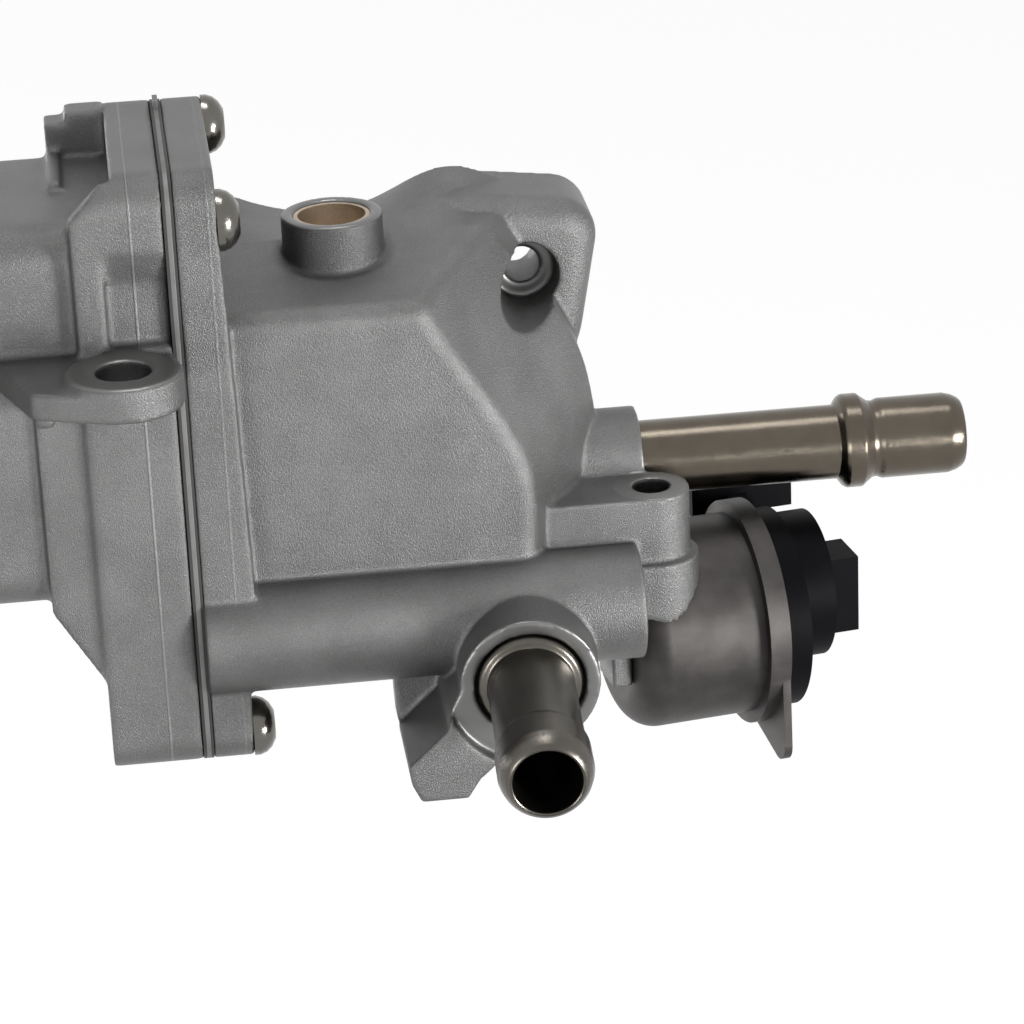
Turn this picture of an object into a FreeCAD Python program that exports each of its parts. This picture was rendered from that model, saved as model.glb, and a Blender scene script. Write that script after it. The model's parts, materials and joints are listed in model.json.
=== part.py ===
"""Exhaust gas recirculation cooler with a cast end cover and a vacuum-worked bypass flap.

Millimetres. The origin is the centre of the gas inlet's machined face. +X runs along the tube
core to the end cover, +Y to the engine side and +Z up.
"""
import FreeCAD, Part
import math
import os

Vec = FreeCAD.Vector

# Tube core and the gas inlet end
HOUSING_LENGTH = 188.8
INLET_BORE_R = 19.0
INLET_FLANGE_THICK = 10.0
INLET_FLANGE_R = 29.0
INLET_EAR_R = 9.0
INLET_BOLT_REACH = 34.0
INLET_BOLT_R = 4.4
HEADER_START = 18.0
HEADER_END = 38.0
CORE_HEIGHT = 42.0
CORE_INSET = 9.0
HEADER_WALL = 1.2
HEADER_MARGIN = 1.5
HEADER_CORNER_R = 5.0
TUBE_R = 4.0
TUBE_WALL = 0.6
TUBE_ROWS = 4
TUBE_COLUMNS = 5
TUBE_SIDE_EDGE = 0.4
TUBE_ROW_EDGE = 1.1
TUBE_STICKOUT = 1.5
BYPASS_R = 9.4
BYPASS_WALL = 0.8
BYPASS_Y = 5.0
BYPASS_Z = -33.0
PLATE_THICK = 1.2
BAFFLE_THICK = 1.0
BAFFLE_COUNT = 3
BAFFLE_WINDOW = 10.0
TAB_Y = 20.0
TAB_WIDTH = 5.0
TAB_RISE = 2.0
BAFFLE_TUBE_CLEARANCE = 0.05

# Cast housing round the core
WALL = 4.5
BODY_TOP = 42.5
BODY_BOTTOM = -48.5
BODY_FRONT_SETBACK = 4.0
BODY_BACK_SETBACK = 1.0
BODY_CORNER_R = 9.0
BODY_START = 13.0
BODY_END_R = 6.0
COOLANT_IN_X = 47.0
COOLANT_IN_R = 9.0
COOLANT_IN_BOSS_R = 14.0
COOLANT_IN_Z = -14.0
COOLANT_IN_BOSS_HEIGHT = 5.0

# Joint flanges of housing and cover
FLANGE_DEPTH = 70.0
FLANGE_TOP = 54.2
FLANGE_BOTTOM = -90.2
FLANGE_CORNER_R = 8.0
HOUSING_FLANGE_THICK = 21.0
FLARE_LENGTH = 11.0
FLARE_DROP = 18.5
TOP_LIP_THICK = 11.0
TOP_LIP_DEPTH = 5.0
TOP_CHAMFER = 8.5
TOP_BLOCK_DEPTH = 9.0
TOP_RIB_WIDTH = 4.0
TOP_RIB_RISE = 2.0
TOP_BLOCK_DROP = 3.5
COOLANT_RISER_R = 6.0
COVER_FLANGE_THICK = 9.5
GASKET_THICK = 0.6
SCREW_INSET = 7.0
SCREW_FRONT_DROP = 5.5
SCREW_D = 6.0
SCREW_HOLE_CLEARANCE = 0.3
SCREW_HEAD_R = 7.0
SCREW_HEAD_HEIGHT = 5.2
SCREW_REACH = 10.0
SCREW_SOCKET_R = 2.6
SCREW_SOCKET_DEPTH = 3.0

# Lug on the housing
LUG_X_FROM_JOINT = 11.5
LUG_Y_FROM_FRONT = 14.0
LUG_TOP = 15.8
LUG_RING_R = 13.3
LUG_HOLE_R = 6.1
LUG_RING_RAISE = 1.8
LUG_PLATE_THICK = 6.4
LUG_ROOT_X = 38.0
LUG_SHOULDER_X = 29.8
LUG_SHOULDER_DEPTH = 18.0
LUG_RIB_X = 31.8
LUG_RIB_WIDTH = 4.5
LUG_RIB_DEPTH = 16.0
LUG_RIB_DROP = 7.0
LUG_POCKET_WIDTH = 14.2
LUG_POCKET_DEPTH = 2.4
LUG_POCKET_TOP = 38.0
LUG_POCKET_SLOPE = 8.0
BAND_RISE = 2.0
LUG_EDGE_R = 3.0
LUG_CORNER_INSET = 1.0

# End cover body
PANEL_SETBACK = 6.0
MIDDLE_Y = 5.0
REAR_Y = 31.0
PANEL_TOPLINE = ((0.0, 18.0), (27.0, 18.0), (54.0, 18.0))
PANEL_ENDLINE = ((54.0, 18.0), (64.4, -0.6), (71.1, -11.7), (77.3, -27.0), (77.7, -36.8), (77.8, -58.0))
MIDDLE_TOPLINE = ((0.0, 25.0), (36.0, 25.0), (72.8, 25.0))
MIDDLE_ENDLINE = ((72.8, 25.0), (90.3, 0.0), (94.5, -9.0), (97.0, -21.0), (98.6, -40.0), (99.4, -58.0))
REAR_TOPLINE = ((0.0, 36.0), (19.8, 26.5), (27.8, 24.0), (48.8, 25.0), (61.8, 30.8), (68.8, 31.8), (74.8, 30.0),
                (89.8, 25.0))
REAR_ENDLINE = ((89.8, 25.0), (94.8, -5.0), (96.8, -30.0), (96.8, -58.0))
PAD_RISE = 3.0
PAD_TOP = 45.0
PAD_BOTTOM = -62.0
COVER_FLOOR = -58.0
COVER_WALL = 5.0
PANEL_EDGE_R = 5.0

# Gas passages inside the cover
CHAMBER_FLOOR = -18.0
CHAMBER_FRONT = ((66.8, -18.0), (62.8, -10.0), (58.8, -4.0), (48.8, 13.0), (0.0, 13.0))
CHAMBER_REAR = ((89.8, -18.0), (86.8, -10.0), (72.8, 2.0), (70.8, 19.0), (0.0, 19.0))
CHAMBER_BACK = 24.0
CHAMBER_POCKET = 5.0
BYPASS_BORE_R = 10.0
BYPASS_BORE_END = 82.8
BYPASS_RISER_START = 69.8
BYPASS_RISER_HALF_WIDTH = 10.0

# Top boss and its plug
TOP_BOSS_X = 36.9
TOP_BOSS_Y = -1.0
TOP_BOSS_TOP = 32.8
TOP_BOSS_R = 11.8
TOP_BOSS_BORE_R = 8.9
PLUG_DEPTH = 7.0
PLUG_WALL = 1.0
PLUG_RECESS = 0.6

# Gas outlet port and flange on the back of the cover
PORT_X = 58.8
PORT_R = 17.0
PORT_BOLT_X = 24.0
PORT_BOLT_Z = 9.0
PORT_BOLT_R = 4.4
PORT_SPOTFACE_R = 8.0
PORT_FACE_Y = 37.0
PORT_FLANGE_THICK = 25.0
PORT_FRONT_R = 7.0
PORT_EYE_THICK = 17.0
PORT_BLIND_DEPTH = 10.0
PORT_APEX_X = 68.8
PORT_APEX_R = 28.6
PORT_EAR_X = 91.3
PORT_EAR_Z = 16.5
PORT_EAR_R = 9.5
PORT_LEFT_EAR_R = 12.0

# Coolant channel, its front spigot and its side spigot
CHANNEL_R = 13.5
CHANNEL_BORE_R = 7.0
CHANNEL_SETBACK = 7.3
CHANNEL_BORE_SETBACK = 11.5
CHANNEL_Z = -59.7
CHANNEL_LENGTH = 102.3
CHANNEL_END_WALL = 5.0
FRONT_SPIGOT_X = 73.1
FRONT_SPIGOT_Z = -68.2
FRONT_SPIGOT_REACH = 16.2
FRONT_SPIGOT_TILT = 3.0
FRONT_SPIGOT_YAW = 2.6
FRONT_BOSS_R = 16.3
FRONT_SPIGOT_R = 10.1
FRONT_SEAT_R = 10.9
FRONT_SEAT_LENGTH = 15.0
FRONT_TIP_TAPER = 5.0
FRONT_BORE_R = 7.7
FRONT_SPIGOT_LENGTH = 46.0
FRONT_COLLAR_R = 12.3
FRONT_RECESS_R = 12.9
FRONT_RECESS_DEPTH = 2.5
FRONT_SPIGOT_SINK = 10.0
FRONT_FACE_R = 19.5
SIDE_SPIGOT_Y = 7.7
SIDE_SPIGOT_Z = -38.1
SIDE_BOSS_R = 12.7
SIDE_BOSS_END = 107.6
SIDE_SPIGOT_R = 9.0
SIDE_SEAT_R = 9.75
SIDE_BEAD_R = 11.4
SIDE_BORE_R = 7.4
SIDE_SPIGOT_LENGTH = 79.3
SIDE_TIP_TAPER = 4.0
SIDE_BEAD_AT = 52.3
SIDE_BEAD_WIDTH = 8.0
SIDE_SPIGOT_SINK = 10.0
LINK_BORE_X = 91.8
LINK_BORE_R = 5.5

# Lug on the cover's right end and the foot below the channel
SIDE_LUG_X = 107.7
SIDE_LUG_Y = -13.6
SIDE_LUG_TOP = -36.7
SIDE_LUG_R = 9.0
SIDE_LUG_HOLE_R = 4.3
SIDE_LUG_HOLE_DEPTH = 15.0
SIDE_BLOCK_TOP = -53.0
SIDE_BLOCK_BOTTOM = -68.0
SIDE_BLOCK_R = 11.0
SIDE_LUG_ROOT = 78.0
FOOT_FRONT = 18.0
FOOT_WEB_THICK = 8.0
FOOT_WEB = ((43.2, -66.0), (43.8, -86.0), (70.0, -80.0), (70.0, -62.0))
FOOT_OUTLINE = ((43.8, -86.0), (53.5, -77.3), (54.4, -73.9), (60.0, -62.0), (70.0, -62.0), (70.0, -80.0),
                (63.7, -87.5), (60.4, -90.4), (57.4, -95.0), (46.6, -95.0), (44.5, -90.6))

# Bypass flap, shaft and lever
SHAFT_X = 62.8
SHAFT_Y = BYPASS_Y
SHAFT_R = 3.5
SHAFT_TOP = -18.5
SHAFT_RUNNING_CLEARANCE = 0.04
BUSH_WALL = 1.75
BUSH_LENGTH = 12.0
SHAFT_BOSS_R = 9.0
SHAFT_BOSS_BOTTOM = -70.0
SHAFT_CAP_R = 7.0
SHAFT_CAP_TOP = -14.0
SHAFT_PASS_R = 4.0
SEAL_R = 6.0
SEAL_THICK = 3.0
FLAP_CLEARANCE = 0.45
FLAP_THICK = 1.6
FLAP_SCREW_R = 1.2
FLAP_SCREW_HEAD_R = 2.1
FLAP_SCREW_HEAD_HEIGHT = 1.2
FLAP_SCREW_SPREAD = 5.0
FLAP_TRAVEL = 70.0
LEVER_LENGTH = 14.0
LEVER_THICK = 3.0
LEVER_END_R = 5.0
LEVER_GAP = 1.5
LEVER_PIN_R = 2.5
LEVER_STEM_R = 2.5
LEVER_PIN_COLLAR_R = 4.2
PIN_END_PLAY = 0.2
LEVER_NUT_R = 4.6
LEVER_NUT_HEIGHT = 3.2
CLIP_R = 4.2
CLIP_THICK = 0.8

# Vacuum actuator
ACTUATOR_TURN = 9.0
ACTUATOR_Z = -78.6
ACTUATOR_REACH = 68.3
CAN_R = 24.6
CAN_SHOULDER_R = 8.0
CAN_LENGTH = 34.0
CAN_WALL = 1.2
RIM_R = 27.5
RIM_THICK = 2.0
RIM_LIP = 3.2
RIM_LIP_THICK = 1.2
EAR_DROP = 33.3
EAR_ROOT_HALF = 13.0
EAR_ROOT_DROP = 22.0
EAR_TURN = 41.0
EAR_TIP_R = 5.0
ROD_R = 2.5
ROD_HOLE_CLEARANCE = 0.5
EYE_THICK = 4.0
EYE_SLOT_PLAY = 0.45
EYE_MARGIN = 2.3
ROD_END_BITE = 0.3
PISTON_R = 17.0
PISTON_THICK = 3.0
PISTON_REST = -27.0
ROD_NUT_R = 4.5
ROD_NUT_THICK = 2.5
ROD_END = 4.0
DIAPHRAGM_EDGE = 0.6
DIAPHRAGM_THICK = 1.0
DIAPHRAGM_GAP = 1.6
DIAPHRAGM_FOLD_GAP = 0.6
SPRING_WIRE_R = 0.9
SPRING_R = 9.0
SPRING_TURNS = 5
CAP_EDGE_THICK = 2.2
CAP_R = 24.4
CAP_DEPTH = 9.0
CAP_STEP_R = 18.0
CAP_STEP_RISE = 5.0
CAP_STEP_DEPTH = 17.5
CAP_WALL = 2.4
PORT_BLOCK_WIDTH = 12.0
PORT_BLOCK_HEIGHT = 19.5
PORT_BLOCK_DEPTH = 27.5
PORT_BLOCK_RISE = 2.6
LOBE_START = -5.0
LOBE_END = 21.0
LOBE_Y = 29.0
LOBE_WIDTH = 10.0
LOBE_RISE = 20.5
LOBE_HEIGHT = 10.0
BRIDGE_INNER = (8.0, 14.0)
BRIDGE_OUTER = (22.0, 8.0)
NIPPLE_R = 2.6
NIPPLE_BORE_R = 1.2
NIPPLE_LENGTH = 12.0
MOUNT_WALL_THICK = 5.0
MOUNT_WALL_HALF_WIDTH = 17.0
MOUNT_NOTCH_R = 5.0
MOUNT_WALL_DROP = 7.4
CAN_CLEARANCE = 1.0
STUD_R = 2.5
STUD_SPREAD = 11.0
STUD_RISE = 4.0
STUD_LENGTH = 11.0
STUD_NUT_R = 4.6
STUD_NUT_HEIGHT = 4.0

# Places worked out from the sizes above
FRONT_Y = -FLANGE_DEPTH / 2
BACK_Y = FLANGE_DEPTH / 2
PANEL_Y = FRONT_Y + PANEL_SETBACK
CHANNEL_Y = FRONT_Y + CHANNEL_SETBACK
BORE_Y = FRONT_Y + CHANNEL_BORE_SETBACK
BODY_FRONT = FRONT_Y + BODY_FRONT_SETBACK
BODY_BACK = BACK_Y - BODY_BACK_SETBACK
CORE_DEPTH = FLANGE_DEPTH - 2 * CORE_INSET
TUBE_PITCH_Y = (CORE_DEPTH / 2 - HEADER_WALL - TUBE_SIDE_EDGE - TUBE_R) * 2 / (TUBE_COLUMNS - 1)
TUBE_PITCH_Z = (CORE_HEIGHT / 2 - HEADER_WALL - TUBE_ROW_EDGE - TUBE_R) * 2 / (TUBE_ROWS - 1)
PLATE_X = HOUSING_LENGTH + GASKET_THICK
COVER_X = PLATE_X + PLATE_THICK + GASKET_THICK
LEVER_TOP = SHAFT_BOSS_BOTTOM - LEVER_GAP
TURN = math.radians(ACTUATOR_TURN)
AXIS = Vec(math.cos(TURN), math.sin(TURN), 0)
ACROSS = Vec(math.sin(TURN), -math.cos(TURN), 0)
SWING = math.radians(FLAP_TRAVEL / 2)
ROD_TRAVEL = 2 * LEVER_LENGTH * math.sin(SWING)
ROD_OFFSET = LEVER_LENGTH * (1 + math.cos(SWING)) / 2
SHAFT_AT = Vec(COVER_X + SHAFT_X, SHAFT_Y, 0)
X_DIR = Vec(1, 0, 0)
Y_DIR = Vec(0, 1, 0)
Z_DIR = Vec(0, 0, 1)


def box(x0, x1, y0, y1, z0, z1):
    """Block between two corners."""
    return Part.makeBox(x1 - x0, y1 - y0, z1 - z0, Vec(x0, y0, z0))


def rod(radius, start, direction, length):
    """Round bar from a point along a direction."""
    return Part.makeCylinder(radius, length, start, direction)


def pipe(outer, inner, start, direction, length):
    """Round tube from a point along a direction."""
    return rod(outer, start, direction, length).cut(rod(inner, start, direction, length))


def fuse(first, *others):
    """Union of shapes with seams between flush faces removed."""
    return first.multiFuse(list(others)).removeSplitter()


def soften(shape, radius, wanted):
    """Fillet the edges of a shape for which wanted(edge) is true."""
    edges = [edge for edge in shape.Edges if wanted(edge)]
    return shape.makeFillet(radius, edges)


def runs_along(edge, direction):
    """True where a straight edge runs along a direction."""
    if len(edge.Vertexes) < 2 or edge.Curve.TypeId != "Part::GeomLine":
        return False
    span = edge.Vertexes[1].Point - edge.Vertexes[0].Point
    return abs(span.normalize().dot(direction)) > 0.999


def rounded_slab(x0, x1, y0, y1, z0, z1, radius):
    """Plate across X with its four long corners rounded."""
    slab = box(x0, x1, y0, y1, z0, z1)
    return soften(slab, radius, lambda edge: runs_along(edge, X_DIR))


def polygon(points):
    """Closed wire through points."""
    return Part.makePolygon(points + [points[0]])


def hull_of_circles(circles, y0, y1):
    """Plate across Y whose outline wraps circles given as x, z and radius, in turning order."""
    edges = []
    count = len(circles)
    tangents = []
    for index in range(count):
        xa, za, ra = circles[index]
        xb, zb, rb = circles[(index + 1) % count]
        span = math.hypot(xb - xa, zb - za)
        heading = math.atan2(zb - za, xb - xa)
        side = heading - math.acos((ra - rb) / span)
        out = Vec(math.cos(side), 0, math.sin(side))
        tangents.append((Vec(xa, y0, za) + out * ra, Vec(xb, y0, zb) + out * rb))
    for index in range(count):
        x, z, radius = circles[index]
        arrive = tangents[index - 1][1]
        leave = tangents[index][0]
        centre = Vec(x, y0, z)
        middle = (arrive - centre) + (leave - centre)
        edges.append(Part.Arc(arrive, centre + middle.normalize() * radius, leave).toShape())
        edges.append(Part.LineSegment(leave, tangents[index][1]).toShape())
    return Part.Face(Part.Wire(edges)).extrude(Vec(0, y1 - y0, 0))


def turned(points, start, axis):
    """Solid of revolution about an axis from (along, radius) points, straight between them."""
    wire = polygon([Vec(along, radius, 0) for along, radius in points])
    solid = Part.Face(wire).revolve(Vec(0, 0, 0), X_DIR, 360)
    solid.Placement = FreeCAD.Placement(start, FreeCAD.Rotation(X_DIR, axis))
    return solid


def screw_places():
    """Centres of the flange screws as (y, z)."""
    front = FRONT_Y + SCREW_INSET
    back = BACK_Y - SCREW_INSET
    top = FLANGE_TOP - SCREW_INSET
    bottom = FLANGE_BOTTOM + SCREW_INSET
    middle = (top + bottom) / 2
    return [(front, top - SCREW_FRONT_DROP), (back, top), (front, bottom), (back, bottom), (back, middle)]


def tube_places():
    """Centres of the gas tubes as (y, z)."""
    places = []
    for row in range(TUBE_ROWS):
        for column in range(TUBE_COLUMNS):
            y = (column - (TUBE_COLUMNS - 1) / 2) * TUBE_PITCH_Y
            z = (row - (TUBE_ROWS - 1) / 2) * TUBE_PITCH_Z
            places.append((y, z))
    return places


def joint_sheet(x0, thick):
    """Sheet in the joint, with its screw holes and the coolant window."""
    sheet = rounded_slab(x0, x0 + thick, FRONT_Y, BACK_Y, FLANGE_BOTTOM, FLANGE_TOP, FLANGE_CORNER_R)
    holes = [rod(SCREW_D / 2 + SCREW_HOLE_CLEARANCE, Vec(x0, y, z), X_DIR, thick)
             for y, z in screw_places()]
    window = rod(CHANNEL_BORE_R, Vec(x0, BORE_Y, CHANNEL_Z), X_DIR, thick)
    return sheet.cut(holes + [window])


def make_gasket(x0):
    """Joint gasket, open over the tube core and the bypass tube."""
    core = box(x0, x0 + GASKET_THICK, -CORE_DEPTH / 2, CORE_DEPTH / 2, -CORE_HEIGHT / 2, CORE_HEIGHT / 2)
    bypass = rod(BYPASS_R + 1, Vec(x0, BYPASS_Y, BYPASS_Z), X_DIR, GASKET_THICK)
    return joint_sheet(x0, GASKET_THICK).cut([core, bypass])


def make_tubes(wall, radius, places, x0, x1):
    """Round gas tubes between two cross planes, one solid each."""
    return [pipe(radius, radius - wall, Vec(x0, y, z), X_DIR, x1 - x0) for y, z in places]


def make_tube_plate():
    """Steel sheet in the joint that the tubes are brazed into, with a finger tab on top."""
    plate = joint_sheet(PLATE_X, PLATE_THICK)
    tab = box(PLATE_X, PLATE_X + PLATE_THICK, TAB_Y, TAB_Y + TAB_WIDTH, FLANGE_TOP - 1, FLANGE_TOP + TAB_RISE)
    holes = [rod(TUBE_R, Vec(PLATE_X, y, z), X_DIR, PLATE_THICK) for y, z in tube_places()]
    bypass = rod(BYPASS_R, Vec(PLATE_X, BYPASS_Y, BYPASS_Z), X_DIR, PLATE_THICK)
    return plate.fuse(tab).cut(holes + [bypass])


def make_inlet_header():
    """Pressed steel header: a round neck and a shallow pan closed by the plate that holds the tubes."""
    low = BYPASS_Z - BYPASS_R - HEADER_MARGIN
    high = CORE_HEIGHT / 2
    half = CORE_DEPTH / 2
    end = HEADER_END + PLATE_THICK
    wall = HEADER_WALL
    pan = rounded_slab(HEADER_START, end, -half, half, low, high, HEADER_CORNER_R)
    hollow = rounded_slab(HEADER_START + wall, HEADER_END, -half + wall, half - wall, low + wall, high - wall,
                          HEADER_CORNER_R - wall)
    neck = rod(INLET_BORE_R, Vec(0, 0, 0), X_DIR, HEADER_START)
    mouth = rod(INLET_BORE_R - wall, Vec(0, 0, 0), X_DIR, HEADER_START + wall)
    holes = [rod(TUBE_R, Vec(HEADER_END, y, z), X_DIR, PLATE_THICK) for y, z in tube_places()]
    bypass = rod(BYPASS_R, Vec(HEADER_END, BYPASS_Y, BYPASS_Z), X_DIR, PLATE_THICK)
    return fuse(pan, neck).cut([hollow, mouth, bypass] + holes)


def make_baffles():
    """Coolant baffles between the headers, open at the top and the bottom in turn."""
    start = HEADER_END + PLATE_THICK
    pitch = (PLATE_X - start) / (BAFFLE_COUNT + 1)
    low = BYPASS_Z - BYPASS_R - HEADER_MARGIN
    high = CORE_HEIGHT / 2
    baffles = []
    for index in range(BAFFLE_COUNT):
        x = start + pitch * (index + 1)
        z0 = low if index % 2 else low + BAFFLE_WINDOW
        z1 = high - BAFFLE_WINDOW if index % 2 else high
        sheet = rounded_slab(x, x + BAFFLE_THICK, -CORE_DEPTH / 2, CORE_DEPTH / 2, z0, z1, HEADER_CORNER_R)
        holes = [rod(TUBE_R + BAFFLE_TUBE_CLEARANCE, Vec(x, y, z), X_DIR, BAFFLE_THICK)
                 for y, z in tube_places()]
        bypass = rod(BYPASS_R + BAFFLE_TUBE_CLEARANCE, Vec(x, BYPASS_Y, BYPASS_Z), X_DIR, BAFFLE_THICK)
        baffles.append(sheet.cut(holes + [bypass]))
    return baffles


def make_housing():
    """Cast coolant housing with the inlet flange, the joint flange and its mounting lug."""
    joint = HOUSING_LENGTH
    lip = joint - TOP_LIP_THICK
    block = joint - HOUSING_FLANGE_THICK
    body = rounded_slab(BODY_START, joint, BODY_FRONT, BODY_BACK, BODY_BOTTOM, BODY_TOP, BODY_CORNER_R)
    body = soften(body, BODY_END_R, lambda edge: edge.BoundBox.XMax < BODY_START + 0.001)
    neck = rod(INLET_BORE_R + WALL, Vec(0, 0, 0), X_DIR, BODY_START + WALL)
    flange = hull_of_circles([(-INLET_BOLT_REACH, 0, INLET_EAR_R), (0, 0, INLET_FLANGE_R),
                              (INLET_BOLT_REACH, 0, INLET_EAR_R), (0, 0, INLET_FLANGE_R)],
                             0, INLET_FLANGE_THICK)
    flange.rotate(Vec(0, 0, 0), Z_DIR, -90)
    joint_flange = rounded_slab(block, joint, FRONT_Y, BACK_Y, FLANGE_BOTTOM, FLANGE_TOP, FLANGE_CORNER_R)
    band = BODY_FRONT - BAND_RISE
    band_top = LUG_TOP - LUG_RING_RAISE - LUG_PLATE_THICK
    flare = Part.Face(polygon([Vec(block - FLARE_LENGTH, band, BODY_BOTTOM + WALL),
                               Vec(block - FLARE_LENGTH, band, BODY_BOTTOM),
                               Vec(block, band, BODY_BOTTOM - FLARE_DROP),
                               Vec(block, band, BODY_BOTTOM + WALL)]))
    flare = flare.extrude(Vec(0, BODY_BACK - band, 0))
    step = box(block - FLARE_LENGTH, block, band, BODY_FRONT + WALL / 2, BODY_BOTTOM + WALL, band_top)
    chamfer = Part.Face(polygon([Vec(block, FRONT_Y, FLANGE_TOP), Vec(block, FRONT_Y, FLANGE_TOP - TOP_CHAMFER),
                                 Vec(block + TOP_CHAMFER, FRONT_Y, FLANGE_TOP)]))
    chamfer = chamfer.extrude(Vec(0, FLANGE_DEPTH, 0))
    pocket = box(block, lip, FRONT_Y + TOP_LIP_DEPTH, BACK_Y, BODY_TOP, FLANGE_TOP)
    high_block = box(block + 1, lip, BODY_BACK - TOP_BLOCK_DEPTH, BODY_BACK, BODY_TOP - 1, FLANGE_TOP - 1)
    low_block = box(block - TOP_RIB_WIDTH, block + 1, BODY_BACK - TOP_BLOCK_DEPTH, BODY_BACK,
                    BODY_TOP - 1, FLANGE_TOP - TOP_BLOCK_DROP)
    rib = box(block - TOP_RIB_WIDTH, block - 1, 0, BODY_BACK, BODY_TOP - 1, BODY_TOP + TOP_RIB_RISE)
    boss = rod(COOLANT_IN_BOSS_R, Vec(COOLANT_IN_X + BODY_START, BODY_BACK - WALL, COOLANT_IN_Z), Y_DIR,
               WALL + COOLANT_IN_BOSS_HEIGHT)
    casting = fuse(body, neck, flange, joint_flange.cut([chamfer, pocket, lug_pocket()]), flare, step,
                   high_block, low_block, rib, boss, make_housing_lug())
    cavity = rounded_slab(BODY_START + WALL, joint, BODY_FRONT + WALL, BODY_BACK - WALL, BODY_BOTTOM + WALL,
                          BODY_TOP - WALL, BODY_CORNER_R - WALL)
    cuts = [cavity, rod(INLET_BORE_R, Vec(0, 0, 0), X_DIR, BODY_START + WALL)]
    cuts += [rod(INLET_BOLT_R, Vec(0, y, 0), X_DIR, INLET_FLANGE_THICK)
             for y in (-INLET_BOLT_REACH, INLET_BOLT_REACH)]
    cuts += [rod(SCREW_D / 2, Vec(joint - SCREW_REACH, y, z), X_DIR, SCREW_REACH) for y, z in screw_places()]
    riser_x = joint - HOUSING_FLANGE_THICK / 2
    cuts.append(rod(CHANNEL_BORE_R, Vec(riser_x, BORE_Y, CHANNEL_Z), X_DIR, joint - riser_x))
    cuts.append(rod(COOLANT_RISER_R, Vec(riser_x, BORE_Y + COOLANT_RISER_R, CHANNEL_Z), Z_DIR,
                    BODY_BOTTOM + 2 * WALL - CHANNEL_Z))
    cuts.append(rod(COOLANT_IN_R, Vec(COOLANT_IN_X + BODY_START, 0, COOLANT_IN_Z), Y_DIR, FLANGE_DEPTH))
    cuts.append(rod(LUG_HOLE_R, Vec(joint - LUG_X_FROM_JOINT, FRONT_Y - LUG_Y_FROM_FRONT, 0), Z_DIR, LUG_TOP))
    return casting.cut(cuts)


def make_housing_lug():
    """Flat mounting lug in front of the housing, with a raised ring round its hole."""
    x = HOUSING_LENGTH - LUG_X_FROM_JOINT
    y = FRONT_Y - LUG_Y_FROM_FRONT
    top = LUG_TOP - LUG_RING_RAISE
    root_x = HOUSING_LENGTH - LUG_ROOT_X
    shoulder_x = HOUSING_LENGTH - LUG_SHOULDER_X
    corner_x = HOUSING_LENGTH - LUG_EDGE_R - LUG_CORNER_INSET
    plate = hull_of_circles([(x, y, LUG_RING_R), (corner_x, BODY_FRONT, LUG_EDGE_R),
                             (root_x, BODY_FRONT, LUG_EDGE_R),
                             (shoulder_x, FRONT_Y - LUG_SHOULDER_DEPTH, LUG_EDGE_R)], 0, LUG_PLATE_THICK)
    plate.rotate(Vec(0, 0, 0), X_DIR, -90)
    plate.translate(Vec(0, 0, top))
    ring = rod(LUG_RING_R, Vec(x, y, top), Z_DIR, LUG_RING_RAISE)
    rib_x = HOUSING_LENGTH - LUG_RIB_X
    under = top - LUG_PLATE_THICK
    rib = Part.Face(polygon([Vec(rib_x, BODY_FRONT + 1, under + 1), Vec(rib_x, FRONT_Y - LUG_RIB_DEPTH, under + 1),
                             Vec(rib_x, FRONT_Y - LUG_RIB_DEPTH, under - LUG_RIB_DROP / 2),
                             Vec(rib_x, BODY_FRONT + 1, under - LUG_RIB_DROP)]))
    return fuse(plate, ring, rib.extrude(Vec(LUG_RIB_WIDTH, 0, 0)))


def lug_pocket():
    """Shallow pocket in the flange front that clears the head of the lug's bolt."""
    x = HOUSING_LENGTH - LUG_POCKET_WIDTH
    deep = FRONT_Y + LUG_POCKET_DEPTH
    profile = polygon([Vec(x, FRONT_Y, LUG_TOP), Vec(x, deep, LUG_TOP), Vec(x, deep, LUG_POCKET_TOP - LUG_POCKET_SLOPE),
                       Vec(x, FRONT_Y, LUG_POCKET_TOP)])
    return Part.Face(profile).extrude(Vec(LUG_POCKET_WIDTH, 0, 0))



def cover_section(y, topline, endline):
    """Closed outline of the cover body in a plane across Y."""
    top = [Vec(COVER_X + x, y, z) for x, z in topline]
    end = [Vec(COVER_X + x, y, z) for x, z in endline]
    corner = Vec(COVER_X, y, COVER_FLOOR)
    top_curve = Part.BSplineCurve()
    top_curve.interpolate(top)
    end_curve = Part.BSplineCurve()
    end_curve.interpolate(end)
    left = Part.LineSegment(corner, top[0]).toShape()
    floor = Part.LineSegment(end[-1], corner).toShape()
    return Part.Wire([left, top_curve.toShape(), end_curve.toShape(), floor])


def make_cover_body():
    """Hollow-less body behind the front panel, with rounded panel and shoulder edges."""
    body = Part.makeLoft([cover_section(PANEL_Y, PANEL_TOPLINE, PANEL_ENDLINE),
                          cover_section(MIDDLE_Y, MIDDLE_TOPLINE, MIDDLE_ENDLINE),
                          cover_section(REAR_Y, REAR_TOPLINE, REAR_ENDLINE)], True, True)

    def on_panel(edge):
        bounds = edge.BoundBox
        return bounds.YMax < PANEL_Y + 0.01 and bounds.ZMax > COVER_FLOOR + 1 and bounds.XMax > COVER_X + 1

    def on_shoulder(edge):
        bounds = edge.BoundBox
        return bounds.XMin > COVER_X + PANEL_TOPLINE[-1][0] - 1 and bounds.ZMin > 0 and bounds.YLength > 10

    return soften(body, PANEL_EDGE_R, lambda edge: on_panel(edge) or on_shoulder(edge))


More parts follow.
